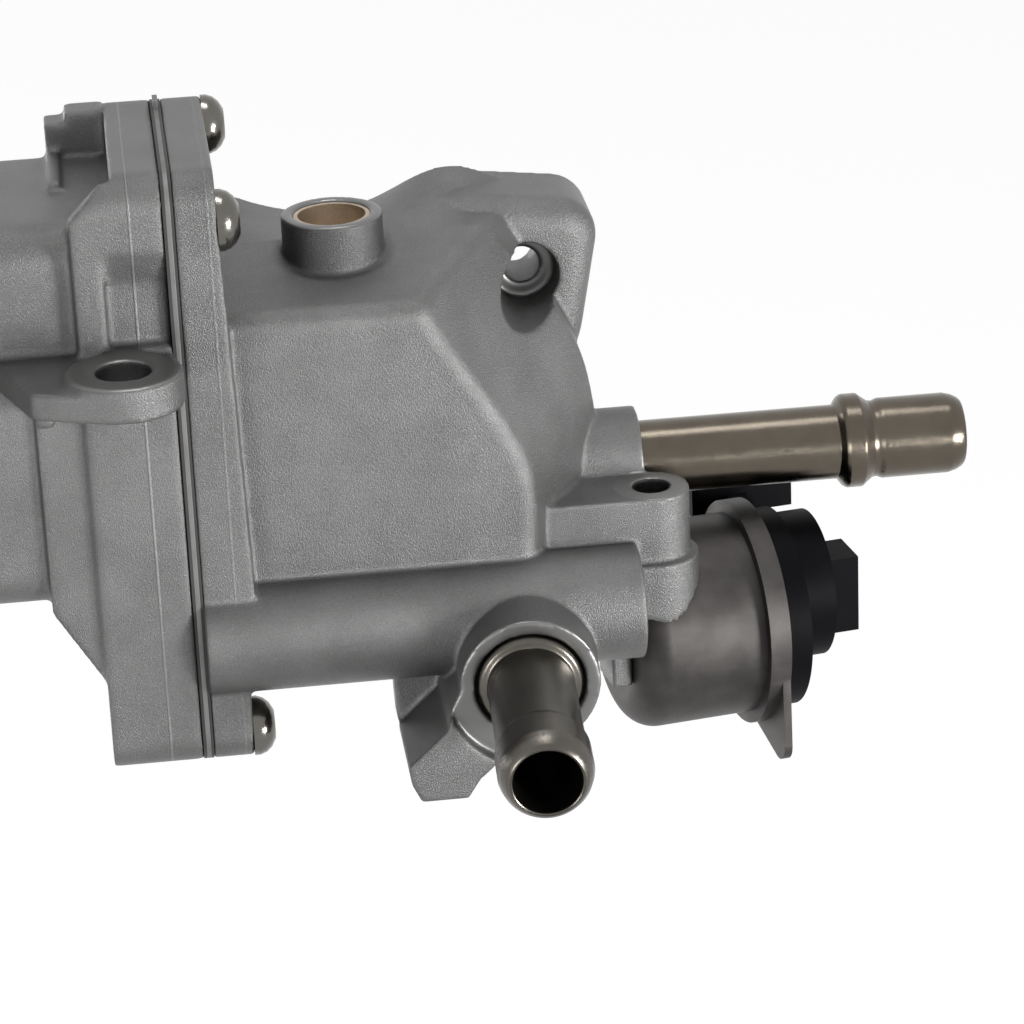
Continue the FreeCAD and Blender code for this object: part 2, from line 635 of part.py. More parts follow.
def gas_chamber():
    """Space inside the cover that turns the gas from the tubes to the rear port."""
    sections = []
    for y, outline in ((PANEL_Y + COVER_WALL, CHAMBER_FRONT), (MIDDLE_Y, CHAMBER_REAR),
                       (CHAMBER_BACK, CHAMBER_REAR)):
        points = [Vec(COVER_X, y, CHAMBER_FLOOR)] + [Vec(COVER_X + x, y, z) for x, z in outline]
        sections.append(polygon(points))
    chamber = Part.makeLoft(sections, True, True)
    pocket = box(COVER_X, COVER_X + CHAMBER_POCKET, -CORE_DEPTH / 2, CORE_DEPTH / 2, -CORE_HEIGHT / 2,
                 CORE_HEIGHT / 2)
    bypass = rod(BYPASS_BORE_R, Vec(COVER_X, BYPASS_Y, BYPASS_Z), X_DIR, BYPASS_BORE_END)
    riser = box(COVER_X + BYPASS_RISER_START, COVER_X + BYPASS_BORE_END, BYPASS_Y - BYPASS_RISER_HALF_WIDTH,
                BYPASS_Y + BYPASS_RISER_HALF_WIDTH, BYPASS_Z, CHAMBER_FLOOR + 1)
    return [chamber, pocket, bypass, riser]


def make_outlet_lobe():
    """Oval gas outlet flange on the back of the cover, before its holes."""
    ear = (COVER_X + PORT_EAR_X, PORT_EAR_Z, PORT_EAR_R)
    apex = (COVER_X + PORT_APEX_X, 0, PORT_APEX_R)
    left = (COVER_X + PORT_X - PORT_BOLT_X, -PORT_BOLT_Z, PORT_LEFT_EAR_R)
    front = PORT_FACE_Y - PORT_FLANGE_THICK
    lobe = hull_of_circles([apex, ear, apex, left], front, PORT_FACE_Y)
    return soften(lobe, PORT_FRONT_R, lambda edge: edge.BoundBox.YMax < front + 0.001)


def make_foot():
    """Thick foot below the front spigot boss."""
    points = [Vec(COVER_X + x, FRONT_Y - FOOT_FRONT, z) for x, z in FOOT_OUTLINE]
    foot = Part.Face(polygon(points)).extrude(Vec(0, FOOT_FRONT + CHANNEL_SETBACK, 0))
    points = [Vec(COVER_X + x, CHANNEL_Y, z) for x, z in FOOT_WEB]
    return foot.fuse(Part.Face(polygon(points)).extrude(Vec(0, FOOT_WEB_THICK, 0)))


def make_side_lug():
    """Lug on the cover's right end with the wider block below it."""
    x = COVER_X + SIDE_LUG_X
    root = COVER_X + SIDE_LUG_ROOT
    y = SIDE_LUG_Y
    parts = []
    for radius, top, bottom in ((SIDE_LUG_R, SIDE_LUG_TOP, SIDE_BLOCK_TOP),
                                (SIDE_BLOCK_R, SIDE_BLOCK_TOP, SIDE_BLOCK_BOTTOM)):
        parts.append(rod(radius, Vec(x, y, bottom), Z_DIR, top - bottom))
        parts.append(box(root, x, y - radius, y + radius, bottom, top))
    return parts


def front_spigot_frame():
    """Start point and direction of the front spigot."""
    tilt = math.radians(FRONT_SPIGOT_TILT)
    start = Vec(COVER_X + FRONT_SPIGOT_X, FRONT_Y - FRONT_SPIGOT_REACH, FRONT_SPIGOT_Z)
    yaw = math.radians(FRONT_SPIGOT_YAW)
    return start, Vec(-math.sin(yaw) * math.cos(tilt), -math.cos(yaw) * math.cos(tilt), -math.sin(tilt))


def actuator_frame(shape):
    """Move a shape from the actuator's own axes (x along the rod, z up) to its place."""
    origin = SHAFT_AT + ACROSS * ROD_OFFSET + AXIS * ACTUATOR_REACH
    origin.z = ACTUATOR_Z
    moved = shape.copy()
    moved.Placement = FreeCAD.Placement(origin, FreeCAD.Rotation(Z_DIR, ACTUATOR_TURN)).multiply(moved.Placement)
    return moved


def make_mount_wall():
    """Wall that carries the vacuum can, in the actuator's own axes."""
    x1 = -CAN_LENGTH
    x0 = x1 - MOUNT_WALL_THICK
    top = COVER_FLOOR - ACTUATOR_Z + COVER_WALL
    wall = box(x0, x1, -MOUNT_WALL_HALF_WIDTH, MOUNT_WALL_HALF_WIDTH, -MOUNT_WALL_DROP, top)
    notch = rod(MOUNT_NOTCH_R, Vec(x0, 0, 0), X_DIR, MOUNT_WALL_THICK)
    slot = box(x0, x1, -MOUNT_NOTCH_R, MOUNT_NOTCH_R, -MOUNT_WALL_DROP, 0)
    studs = [rod(STUD_R + SCREW_HOLE_CLEARANCE, Vec(x0, y, STUD_RISE), X_DIR, MOUNT_WALL_THICK)
             for y in (-STUD_SPREAD, STUD_SPREAD)]
    return wall.cut([notch, slot] + studs)


def make_cover():
    """Cast end cover with its gas chamber, coolant channel, spigot bosses, lugs and rear flange."""
    flange = rounded_slab(COVER_X, COVER_X + COVER_FLANGE_THICK, FRONT_Y, BACK_Y, FLANGE_BOTTOM, FLANGE_TOP,
                          FLANGE_CORNER_R)
    body = make_cover_body()
    face_x = COVER_X + COVER_FLANGE_THICK
    pad = Part.Face(polygon([Vec(face_x, FRONT_Y, PAD_TOP), Vec(face_x, FRONT_Y, PAD_BOTTOM),
                             Vec(face_x + PAD_RISE, FRONT_Y, PAD_BOTTOM)]))
    pad = pad.extrude(Vec(0, PANEL_SETBACK, 0))
    boss_base = PANEL_TOPLINE[0][1]
    top_boss = rod(TOP_BOSS_R, Vec(COVER_X + TOP_BOSS_X, TOP_BOSS_Y, boss_base), Z_DIR,
                   TOP_BOSS_TOP - boss_base)
    channel = rod(CHANNEL_R, Vec(COVER_X, CHANNEL_Y, CHANNEL_Z), X_DIR, CHANNEL_LENGTH)
    start, out = front_spigot_frame()
    front_boss = rod(FRONT_BOSS_R, start - out * (CHANNEL_SETBACK + FRONT_SPIGOT_REACH + 4), out,
                     CHANNEL_SETBACK + FRONT_SPIGOT_REACH + 4)
    side_boss = rod(SIDE_BOSS_R, Vec(COVER_X + SIDE_LUG_ROOT, SIDE_SPIGOT_Y, SIDE_SPIGOT_Z), X_DIR,
                    SIDE_BOSS_END - SIDE_LUG_ROOT)
    shaft_boss = rod(SHAFT_BOSS_R, Vec(SHAFT_AT.x, SHAFT_AT.y, SHAFT_BOSS_BOTTOM), Z_DIR,
                     COVER_FLOOR + COVER_WALL - SHAFT_BOSS_BOTTOM)
    shaft_cap = rod(SHAFT_CAP_R, Vec(SHAFT_AT.x, SHAFT_AT.y, CHAMBER_FLOOR - COVER_WALL / 2), Z_DIR,
                    SHAFT_CAP_TOP - CHAMBER_FLOOR + COVER_WALL / 2)
    can_space = actuator_frame(rod(CAN_R + CAN_CLEARANCE, Vec(-CAN_LENGTH, 0, 0), X_DIR, CAN_LENGTH))
    near_can = [body, channel, side_boss, make_outlet_lobe()] + make_side_lug()
    casting = flange.multiFuse([piece.cut(can_space) for piece in near_can]
                               + [pad, top_boss, front_boss, shaft_boss, make_foot()])
    for space in gas_chamber():
        casting = casting.cut(space)
    casting = casting.fuse(shaft_cap).fuse(actuator_frame(make_mount_wall()))
    for hole in cover_holes():
        casting = casting.cut(hole)
    return casting.removeSplitter()


def shaft_holes():
    """Bores for the flap shaft, its bush and its seal."""
    x = SHAFT_AT.x
    y = SHAFT_AT.y
    seal_top = SHAFT_BOSS_BOTTOM + SEAL_THICK
    bush_top = seal_top + BUSH_LENGTH
    bearing = rod(SHAFT_R + SHAFT_RUNNING_CLEARANCE, Vec(x, y, BYPASS_Z), Z_DIR, CHAMBER_FLOOR - BYPASS_Z)
    passage = rod(SHAFT_PASS_R, Vec(x, y, bush_top), Z_DIR, BYPASS_Z - bush_top)
    bush = rod(SHAFT_R + BUSH_WALL, Vec(x, y, seal_top), Z_DIR, BUSH_LENGTH)
    seal = rod(SEAL_R, Vec(x, y, SHAFT_BOSS_BOTTOM), Z_DIR, SEAL_THICK)
    return [bearing, passage, bush, seal]


def cover_holes():
    """Every machined hole of the cover."""
    face_x = COVER_X + COVER_FLANGE_THICK
    holes = [rod(SCREW_D / 2 + SCREW_HOLE_CLEARANCE, Vec(COVER_X, y, z), X_DIR, COVER_FLANGE_THICK + PAD_RISE)
             for y, z in screw_places()]
    holes += [rod(SCREW_HEAD_R + 1, Vec(face_x, y, z), X_DIR, SCREW_HEAD_HEIGHT + 2) for y, z in screw_places()]
    holes.append(rod(TOP_BOSS_BORE_R, Vec(COVER_X + TOP_BOSS_X, TOP_BOSS_Y, 0), Z_DIR, TOP_BOSS_TOP))
    port = COVER_X + PORT_X
    holes.append(rod(PORT_R, Vec(port, CHAMBER_BACK - 1, 0), Y_DIR, PORT_FACE_Y - CHAMBER_BACK + 1))
    eye_front = PORT_FACE_Y - PORT_EYE_THICK
    holes.append(rod(PORT_BOLT_R, Vec(port + PORT_BOLT_X, eye_front, PORT_BOLT_Z), Y_DIR, PORT_EYE_THICK))
    holes.append(rod(PORT_SPOTFACE_R, Vec(port + PORT_BOLT_X, BODY_FRONT, PORT_BOLT_Z), Y_DIR,
                     eye_front - BODY_FRONT))
    holes.append(rod(PORT_BOLT_R, Vec(port - PORT_BOLT_X, PORT_FACE_Y - PORT_BLIND_DEPTH, -PORT_BOLT_Z), Y_DIR,
                     PORT_BLIND_DEPTH))
    holes.append(rod(CHANNEL_BORE_R, Vec(COVER_X, BORE_Y, CHANNEL_Z), X_DIR, CHANNEL_LENGTH - CHANNEL_END_WALL))
    start, out = front_spigot_frame()
    deep = (BORE_Y - start.y) / -out.y
    holes.append(rod(FRONT_SPIGOT_R, start - out * FRONT_SPIGOT_SINK, out, FRONT_SPIGOT_SINK))
    holes.append(rod(FRONT_FACE_R, start, out, FRONT_SPIGOT_SINK))
    holes.append(rod(FRONT_RECESS_R, start - out * FRONT_RECESS_DEPTH, out, FRONT_RECESS_DEPTH))
    holes.append(rod(FRONT_BORE_R, start - out * deep, out, deep))
    end = Vec(COVER_X + SIDE_BOSS_END, SIDE_SPIGOT_Y, SIDE_SPIGOT_Z)
    holes.append(rod(SIDE_SPIGOT_R, end - X_DIR * SIDE_SPIGOT_SINK, X_DIR, SIDE_SPIGOT_SINK))
    link_x = COVER_X + LINK_BORE_X
    holes.append(rod(SIDE_BORE_R, Vec(link_x, SIDE_SPIGOT_Y, SIDE_SPIGOT_Z), X_DIR,
                     end.x - SIDE_SPIGOT_SINK - link_x))
    link = Vec(0, SIDE_SPIGOT_Y - BORE_Y, SIDE_SPIGOT_Z - CHANNEL_Z)
    holes.append(rod(LINK_BORE_R, Vec(link_x, BORE_Y, CHANNEL_Z), link, link.Length))
    holes.append(rod(SIDE_LUG_HOLE_R, Vec(COVER_X + SIDE_LUG_X, SIDE_LUG_Y, SIDE_LUG_TOP - SIDE_LUG_HOLE_DEPTH),
                     Z_DIR, SIDE_LUG_HOLE_DEPTH))
    return holes + shaft_holes()


def make_screws():
    """Round-headed flange screws with a socket, one solid each."""
    head_x = COVER_X + COVER_FLANGE_THICK
    profile = [(0, 0), (0, SCREW_HEAD_R), (0.25 * SCREW_HEAD_HEIGHT, SCREW_HEAD_R),
               (0.55 * SCREW_HEAD_HEIGHT, 0.92 * SCREW_HEAD_R), (0.8 * SCREW_HEAD_HEIGHT, 0.76 * SCREW_HEAD_R),
               (SCREW_HEAD_HEIGHT, 0.5 * SCREW_HEAD_R), (SCREW_HEAD_HEIGHT, 0)]
    screws = []
    for y, z in screw_places():
        tip = HOUSING_LENGTH - SCREW_REACH
        head = turned(profile, Vec(head_x, y, z), X_DIR)
        shank = rod(SCREW_D / 2, Vec(tip, y, z), X_DIR, head_x - tip)
        socket = hex_prism(SCREW_SOCKET_R, SCREW_SOCKET_DEPTH)
        socket.Placement = FreeCAD.Placement(Vec(head_x + SCREW_HEAD_HEIGHT - SCREW_SOCKET_DEPTH, y, z),
                                             FreeCAD.Rotation(Z_DIR, X_DIR))
        screws.append(head.fuse(shank).cut(socket))
    return screws


def hex_prism(corner_r, height):
    """Six-sided prism along Z."""
    points = [Vec(corner_r * math.cos(math.radians(60 * index)), corner_r * math.sin(math.radians(60 * index)), 0)
              for index in range(6)]
    return Part.Face(polygon(points)).extrude(Vec(0, 0, height))


def make_front_spigot():
    """Hose spigot pressed into the front boss."""
    start, out = front_spigot_frame()
    tip = FRONT_SPIGOT_LENGTH
    seat = tip - FRONT_SEAT_LENGTH
    taper = tip - FRONT_TIP_TAPER
    collar = -FRONT_RECESS_DEPTH
    profile = [(-FRONT_SPIGOT_SINK, FRONT_BORE_R), (-FRONT_SPIGOT_SINK, FRONT_SPIGOT_R), (collar, FRONT_SPIGOT_R),
               (collar, FRONT_COLLAR_R - 0.6), (collar + 0.6, FRONT_COLLAR_R), (collar + 2.0, FRONT_COLLAR_R),
               (collar + 3.0, FRONT_COLLAR_R - 0.7), (collar + 3.4, FRONT_SPIGOT_R), (seat, FRONT_SPIGOT_R),
               (seat + 2, FRONT_SEAT_R), (taper, FRONT_SEAT_R), (taper + 2.4, FRONT_SEAT_R - 0.6),
               (taper + 4.2, FRONT_SEAT_R - 1.6), (tip, FRONT_SEAT_R - 2.5), (tip, FRONT_BORE_R + 0.4),
               (tip - 0.5, FRONT_BORE_R)]
    return turned(profile, start, out)


def make_side_spigot():
    """Long hose spigot pressed into the right end of the cover, with a bead part way."""
    start = Vec(COVER_X + SIDE_BOSS_END, SIDE_SPIGOT_Y, SIDE_SPIGOT_Z)
    bead = SIDE_BEAD_AT - SIDE_BEAD_WIDTH / 2
    bead_end = SIDE_BEAD_AT + SIDE_BEAD_WIDTH / 2
    tip = SIDE_SPIGOT_LENGTH
    profile = [(-SIDE_SPIGOT_SINK, SIDE_BORE_R), (-SIDE_SPIGOT_SINK, SIDE_SPIGOT_R), (bead, SIDE_SPIGOT_R),
               (bead + 1.2, SIDE_BEAD_R - 0.6), (bead + 2.2, SIDE_BEAD_R), (bead_end - 2.2, SIDE_BEAD_R),
               (bead_end - 1.2, SIDE_BEAD_R - 0.8), (bead_end + 0.4, SIDE_SPIGOT_R + 0.4),
               (bead_end + 1.6, SIDE_SPIGOT_R + 0.2), (bead_end + 3, SIDE_SEAT_R), (tip - SIDE_TIP_TAPER, SIDE_SEAT_R),
               (tip - 2, SIDE_SEAT_R - 0.5), (tip - 0.6, SIDE_SEAT_R - 1.2), (tip, SIDE_SEAT_R - 1.8),
               (tip, SIDE_BORE_R + 0.3), (tip - 0.4, SIDE_BORE_R)]
    return turned(profile, start, X_DIR)


def make_plug():
    """Cup plug pressed into the top boss."""
    top = TOP_BOSS_TOP - PLUG_RECESS
    place = Vec(COVER_X + TOP_BOSS_X, TOP_BOSS_Y, top - PLUG_DEPTH)
    cup = rod(TOP_BOSS_BORE_R, place, Z_DIR, PLUG_DEPTH)
    hollow = rod(TOP_BOSS_BORE_R - PLUG_WALL, place + Z_DIR * PLUG_WALL, Z_DIR, PLUG_DEPTH)
    return cup.cut(hollow)


def make_bush():
    """Bearing bush of the flap shaft."""
    base = Vec(SHAFT_AT.x, SHAFT_AT.y, SHAFT_BOSS_BOTTOM + SEAL_THICK)
    return pipe(SHAFT_R + BUSH_WALL, SHAFT_R + SHAFT_RUNNING_CLEARANCE, base, Z_DIR, BUSH_LENGTH)


def make_seal():
    """Seal ring below the bush."""
    base = Vec(SHAFT_AT.x, SHAFT_AT.y, SHAFT_BOSS_BOTTOM)
    return pipe(SEAL_R, SHAFT_R + SHAFT_RUNNING_CLEARANCE, base, Z_DIR, SEAL_THICK)


def flap_plate_radius():
    """Radius of the flap plate in the bypass bore."""
    return BYPASS_BORE_R - FLAP_CLEARANCE


def flap_screw_starts():
    """Points on the shaft's flat where the flap screws enter."""
    return [Vec(SHAFT_AT.x, SHAFT_AT.y, BYPASS_Z + side * FLAP_SCREW_SPREAD) for side in (-1, 1)]


def make_shaft():
    """Flap shaft with a flat for the plate and a thinner stem for the lever."""
    x = SHAFT_AT.x
    y = SHAFT_AT.y
    shaft = rod(SHAFT_R, Vec(x, y, LEVER_TOP), Z_DIR, SHAFT_TOP - LEVER_TOP)
    stem_bottom = LEVER_TOP - LEVER_THICK - LEVER_NUT_HEIGHT - 0.4
    stem = rod(LEVER_STEM_R, Vec(x, y, stem_bottom), Z_DIR, LEVER_TOP - stem_bottom)
    half = flap_plate_radius() + 0.1
    flat = box(x, x + SHAFT_R, y - SHAFT_R, y + SHAFT_R, BYPASS_Z - half, BYPASS_Z + half)
    holes = [rod(FLAP_SCREW_R, start, -X_DIR, SHAFT_R - 0.6) for start in flap_screw_starts()]
    return shaft.fuse(stem).cut([flat] + holes)


def make_flap():
    """Round bypass flap, at right angles to the bypass when it is shut."""
    plate = rod(flap_plate_radius(), Vec(SHAFT_AT.x, SHAFT_AT.y, BYPASS_Z), X_DIR, FLAP_THICK)
    return plate.cut([rod(FLAP_SCREW_R, start, X_DIR, FLAP_THICK) for start in flap_screw_starts()])


def make_flap_screws():
    """Two small screws that hold the flap to its shaft."""
    screws = []
    for start in flap_screw_starts():
        deep = SHAFT_R - 0.6
        shank = rod(FLAP_SCREW_R, start - X_DIR * deep, X_DIR, deep + FLAP_THICK)
        head = rod(FLAP_SCREW_HEAD_R, start + X_DIR * FLAP_THICK, X_DIR, FLAP_SCREW_HEAD_HEIGHT)
        screws.append(shank.fuse(head))
    return screws


def pin_place():
    """Axis point of the lever pin at rest."""
    return SHAFT_AT + ACROSS * (LEVER_LENGTH * math.cos(SWING)) - AXIS * (LEVER_LENGTH * math.sin(SWING))


def make_lever():
    """Lever below the cover, from the shaft to the pin."""
    pin = pin_place()
    bottom = LEVER_TOP - LEVER_THICK
    arm_line = pin - SHAFT_AT
    arm = box(0, LEVER_LENGTH, -LEVER_END_R, LEVER_END_R, 0, LEVER_THICK)
    arm.Placement = FreeCAD.Placement(Vec(SHAFT_AT.x, SHAFT_AT.y, bottom), FreeCAD.Rotation(X_DIR, arm_line))
    hub = rod(LEVER_END_R + 1.5, Vec(SHAFT_AT.x, SHAFT_AT.y, bottom), Z_DIR, LEVER_THICK)
    end = rod(LEVER_END_R, Vec(pin.x, pin.y, bottom), Z_DIR, LEVER_THICK)
    holes = [rod(LEVER_STEM_R, Vec(SHAFT_AT.x, SHAFT_AT.y, bottom), Z_DIR, LEVER_THICK),
             rod(LEVER_PIN_R, Vec(pin.x, pin.y, bottom), Z_DIR, LEVER_THICK)]
    return fuse(arm, hub, end).cut(holes)


def make_lever_pin():
    """Pin riveted in the lever, with a collar above the rod eye."""
    pin = pin_place()
    eye_top = ACTUATOR_Z + EYE_THICK / 2
    clip_bottom = ACTUATOR_Z - EYE_THICK / 2 - PIN_END_PLAY - CLIP_THICK
    stem = rod(LEVER_PIN_R, Vec(pin.x, pin.y, clip_bottom - 0.6), Z_DIR, LEVER_TOP - clip_bottom + 0.6)
    collar_bottom = eye_top + PIN_END_PLAY
    collar = rod(LEVER_PIN_COLLAR_R, Vec(pin.x, pin.y, collar_bottom), Z_DIR,
                 LEVER_TOP - LEVER_THICK - collar_bottom)
    return stem.fuse(collar)


def make_pin_clip():
    """Clip on the pin below the rod eye."""
    pin = pin_place()
    base = Vec(pin.x, pin.y, ACTUATOR_Z - EYE_THICK / 2 - PIN_END_PLAY - CLIP_THICK)
    return pipe(CLIP_R, LEVER_PIN_R, base, Z_DIR, CLIP_THICK)


def make_lever_nut():
    """Nut that holds the lever on the shaft's stem."""
    base = LEVER_TOP - LEVER_THICK - LEVER_NUT_HEIGHT
    nut = hex_prism(LEVER_NUT_R, LEVER_NUT_HEIGHT)
    nut.translate(Vec(SHAFT_AT.x, SHAFT_AT.y, base))
    return nut.cut(rod(LEVER_STEM_R, Vec(SHAFT_AT.x, SHAFT_AT.y, base), Z_DIR, LEVER_NUT_HEIGHT))


def make_rod():
    """Actuator rod with the slotted eye for the lever pin."""
    eye_x = -ACTUATOR_REACH - ROD_TRAVEL / 2
    slot_half = LEVER_LENGTH * (1 - math.cos(SWING)) / 2 + 0.2
    slot_r = LEVER_PIN_R + EYE_SLOT_PLAY
    eye = []
    for radius in (slot_r + EYE_MARGIN, slot_r):
        plate = box(eye_x - radius, eye_x + radius, -slot_half, slot_half, -EYE_THICK / 2, EYE_THICK / 2)
        ends = [rod(radius, Vec(eye_x, side * slot_half, -EYE_THICK / 2), Z_DIR, EYE_THICK) for side in (-1, 1)]
        eye.append(fuse(plate, *ends))
    stem_end = PISTON_REST + PISTON_THICK + ROD_NUT_THICK + 1
    stem_start = eye_x + slot_r + EYE_MARGIN - ROD_END_BITE
    stem = rod(ROD_R, Vec(stem_start, 0, 0), X_DIR, stem_end - stem_start)
    return actuator_frame(fuse(eye[0], stem).cut(eye[1]))


def make_piston():
    """Piston plate on the rod, which carries the diaphragm and the spring."""
    profile = [(PISTON_REST, ROD_R), (PISTON_REST, PISTON_R - 1), (PISTON_REST + 1, PISTON_R),
               (PISTON_REST + PISTON_THICK, PISTON_R), (PISTON_REST + PISTON_THICK, ROD_R)]
    return actuator_frame(turned(profile, Vec(0, 0, 0), X_DIR))


def make_rod_nut():
    """Nut that clamps the piston plate on the rod."""
    nut = hex_prism(ROD_NUT_R, ROD_NUT_THICK)
    nut.Placement = FreeCAD.Placement(Vec(PISTON_REST + PISTON_THICK, 0, 0), FreeCAD.Rotation(Z_DIR, X_DIR))
    hole = rod(ROD_R, Vec(PISTON_REST + PISTON_THICK, 0, 0), X_DIR, ROD_NUT_THICK)
    return actuator_frame(nut.cut(hole))


def make_can():
    """Vacuum can with its rolled rim, its ear and two welded studs."""
    outer = rod(CAN_R, Vec(-CAN_LENGTH, 0, 0), X_DIR, CAN_LENGTH - DIAPHRAGM_EDGE)
    outer = soften(outer, CAN_SHOULDER_R, lambda edge: edge.BoundBox.XMax < 0.001 - CAN_LENGTH)
    inner = rod(CAN_R - CAN_WALL, Vec(CAN_WALL - CAN_LENGTH, 0, 0), X_DIR, CAN_LENGTH)
    inner = soften(inner, CAN_SHOULDER_R - CAN_WALL,
                   lambda edge: edge.BoundBox.XMax < 0.001 - CAN_LENGTH + CAN_WALL)
    rim_back = -DIAPHRAGM_EDGE - RIM_THICK
    rim = rod(RIM_R, Vec(rim_back, 0, 0), X_DIR, RIM_THICK)
    lip = pipe(RIM_R, RIM_R - RIM_LIP_THICK, Vec(-DIAPHRAGM_EDGE, 0, 0), X_DIR, RIM_LIP)
    ear = hull_of_circles([(-EAR_ROOT_HALF, -EAR_ROOT_DROP, 2), (0, -EAR_DROP, EAR_TIP_R),
                           (EAR_ROOT_HALF, -EAR_ROOT_DROP, 2)], 0, RIM_THICK)
    ear.rotate(Vec(0, 0, 0), Z_DIR, -90)
    ear.rotate(Vec(0, 0, 0), X_DIR, -EAR_TURN)
    ear.translate(Vec(RIM_LIP - DIAPHRAGM_EDGE - RIM_THICK, 0, 0))
    ear = ear.cut(rod(RIM_R - RIM_LIP_THICK, Vec(0, 0, 0), X_DIR, RIM_LIP))
    studs = [rod(STUD_R, Vec(-CAN_LENGTH - STUD_LENGTH, y, STUD_RISE), X_DIR, STUD_LENGTH)
             for y in (-STUD_SPREAD, STUD_SPREAD)]
    rod_hole = rod(ROD_R + ROD_HOLE_CLEARANCE, Vec(-CAN_LENGTH, 0, 0), X_DIR, CAN_WALL)
    return actuator_frame(fuse(outer, rim, lip, ear, *studs).cut([inner, rod_hole]))


def make_actuator_nuts():
    """Nuts on the can's studs, one solid each."""
    nuts = []
    for y in (-STUD_SPREAD, STUD_SPREAD):
        place = Vec(-CAN_LENGTH - MOUNT_WALL_THICK - STUD_NUT_HEIGHT, y, STUD_RISE)
        nut = hex_prism(STUD_NUT_R, STUD_NUT_HEIGHT)
        nut.Placement = FreeCAD.Placement(place, FreeCAD.Rotation(Z_DIR, X_DIR))
        nuts.append(actuator_frame(nut.cut(rod(STUD_R, place, X_DIR, STUD_NUT_HEIGHT))))
    return nuts


def make_diaphragm():
    """Rubber diaphragm clamped in the rim, rolled in a sleeve round the piston."""
    inner = PISTON_R + DIAPHRAGM_GAP
    outer = inner + DIAPHRAGM_THICK
    clamp_r = RIM_R - RIM_LIP_THICK
    fold = PISTON_R + DIAPHRAGM_FOLD_GAP
    left = PISTON_REST
    profile = [(0, clamp_r), (0, inner), (left, inner), (left, fold), (left - DIAPHRAGM_THICK, fold),
               (left - DIAPHRAGM_THICK, outer), (-DIAPHRAGM_EDGE, outer), (-DIAPHRAGM_EDGE, clamp_r)]
    return actuator_frame(turned(profile, Vec(0, 0, 0), X_DIR))


def make_spring():
    """Return spring between the piston plate and the cap."""
    start = PISTON_REST + PISTON_THICK + SPRING_WIRE_R
    end = CAP_STEP_DEPTH - CAP_WALL - SPRING_WIRE_R
    path = Part.makeHelix((end - start) / SPRING_TURNS, end - start, SPRING_R)
    ring = Part.Wire(Part.makeCircle(SPRING_WIRE_R, Vec(SPRING_R, 0, 0), Y_DIR))
    coil = Part.Wire(path).makePipeShell([ring], True, True)
    coil.Placement = FreeCAD.Placement(Vec(start, 0, 0), FreeCAD.Rotation(Z_DIR, X_DIR))
    return actuator_frame(coil)


def make_cap():
    """Black cap on the can, stepped, with the vacuum port block and the lobe beside it."""
    edge = rod(RIM_R - RIM_LIP_THICK, Vec(0, 0, 0), X_DIR, CAP_EDGE_THICK)
    disc = rod(CAP_R, Vec(0, 0, 0), X_DIR, CAP_DEPTH)
    step = rod(CAP_STEP_R, Vec(0, 0, CAP_STEP_RISE), X_DIR, CAP_STEP_DEPTH)
    half = PORT_BLOCK_WIDTH / 2
    low = PORT_BLOCK_RISE - PORT_BLOCK_HEIGHT / 2
    block = box(CAP_DEPTH, PORT_BLOCK_DEPTH, -half, half, low, low + PORT_BLOCK_HEIGHT)
    nipple_x = (CAP_STEP_DEPTH + PORT_BLOCK_DEPTH) / 2
    nipple = rod(NIPPLE_R, Vec(nipple_x, 0, PORT_BLOCK_RISE), Y_DIR, half + NIPPLE_LENGTH)
    lobe = box(LOBE_START, LOBE_END, LOBE_Y - LOBE_WIDTH / 2, LOBE_Y + LOBE_WIDTH / 2, LOBE_RISE - LOBE_HEIGHT / 2,
               LOBE_RISE + LOBE_HEIGHT / 2)
    bridge = Part.Face(polygon([Vec(RIM_LIP + 1, *BRIDGE_INNER), Vec(RIM_LIP + 1, *BRIDGE_OUTER),
                                Vec(RIM_LIP + 1, LOBE_Y + LOBE_WIDTH / 2, LOBE_RISE),
                                Vec(RIM_LIP + 1, LOBE_Y - LOBE_WIDTH / 2, LOBE_RISE)]))
    bridge = bridge.extrude(Vec(CAP_DEPTH - RIM_LIP - 1, 0, 0))
    hollow = [rod(CAP_R - CAP_WALL, Vec(0, 0, 0), X_DIR, CAP_DEPTH - CAP_WALL),
              rod(CAP_STEP_R - CAP_WALL, Vec(0, 0, CAP_STEP_RISE), X_DIR, CAP_STEP_DEPTH - CAP_WALL),
              rod(NIPPLE_BORE_R, Vec(nipple_x, 0, PORT_BLOCK_RISE), Y_DIR, half + NIPPLE_LENGTH),
              rod(NIPPLE_BORE_R, Vec(CAP_STEP_DEPTH - CAP_WALL, 0, PORT_BLOCK_RISE), X_DIR,
                  nipple_x - CAP_STEP_DEPTH + CAP_WALL)]
    return actuator_frame(fuse(edge, disc, step, block, nipple, lobe, bridge).cut(hollow))


def save(shapes, name):
    """Write one node's solids to its STEP file."""
    solids = shapes if isinstance(shapes, list) else [shapes]
    shape = Part.makeCompound(solids) if len(solids) > 1 else solids[0]
    print(name, len(shape.Solids), round(shape.Volume, 1), shape.isValid())
    shape.exportStep("parts/" + name + ".step")


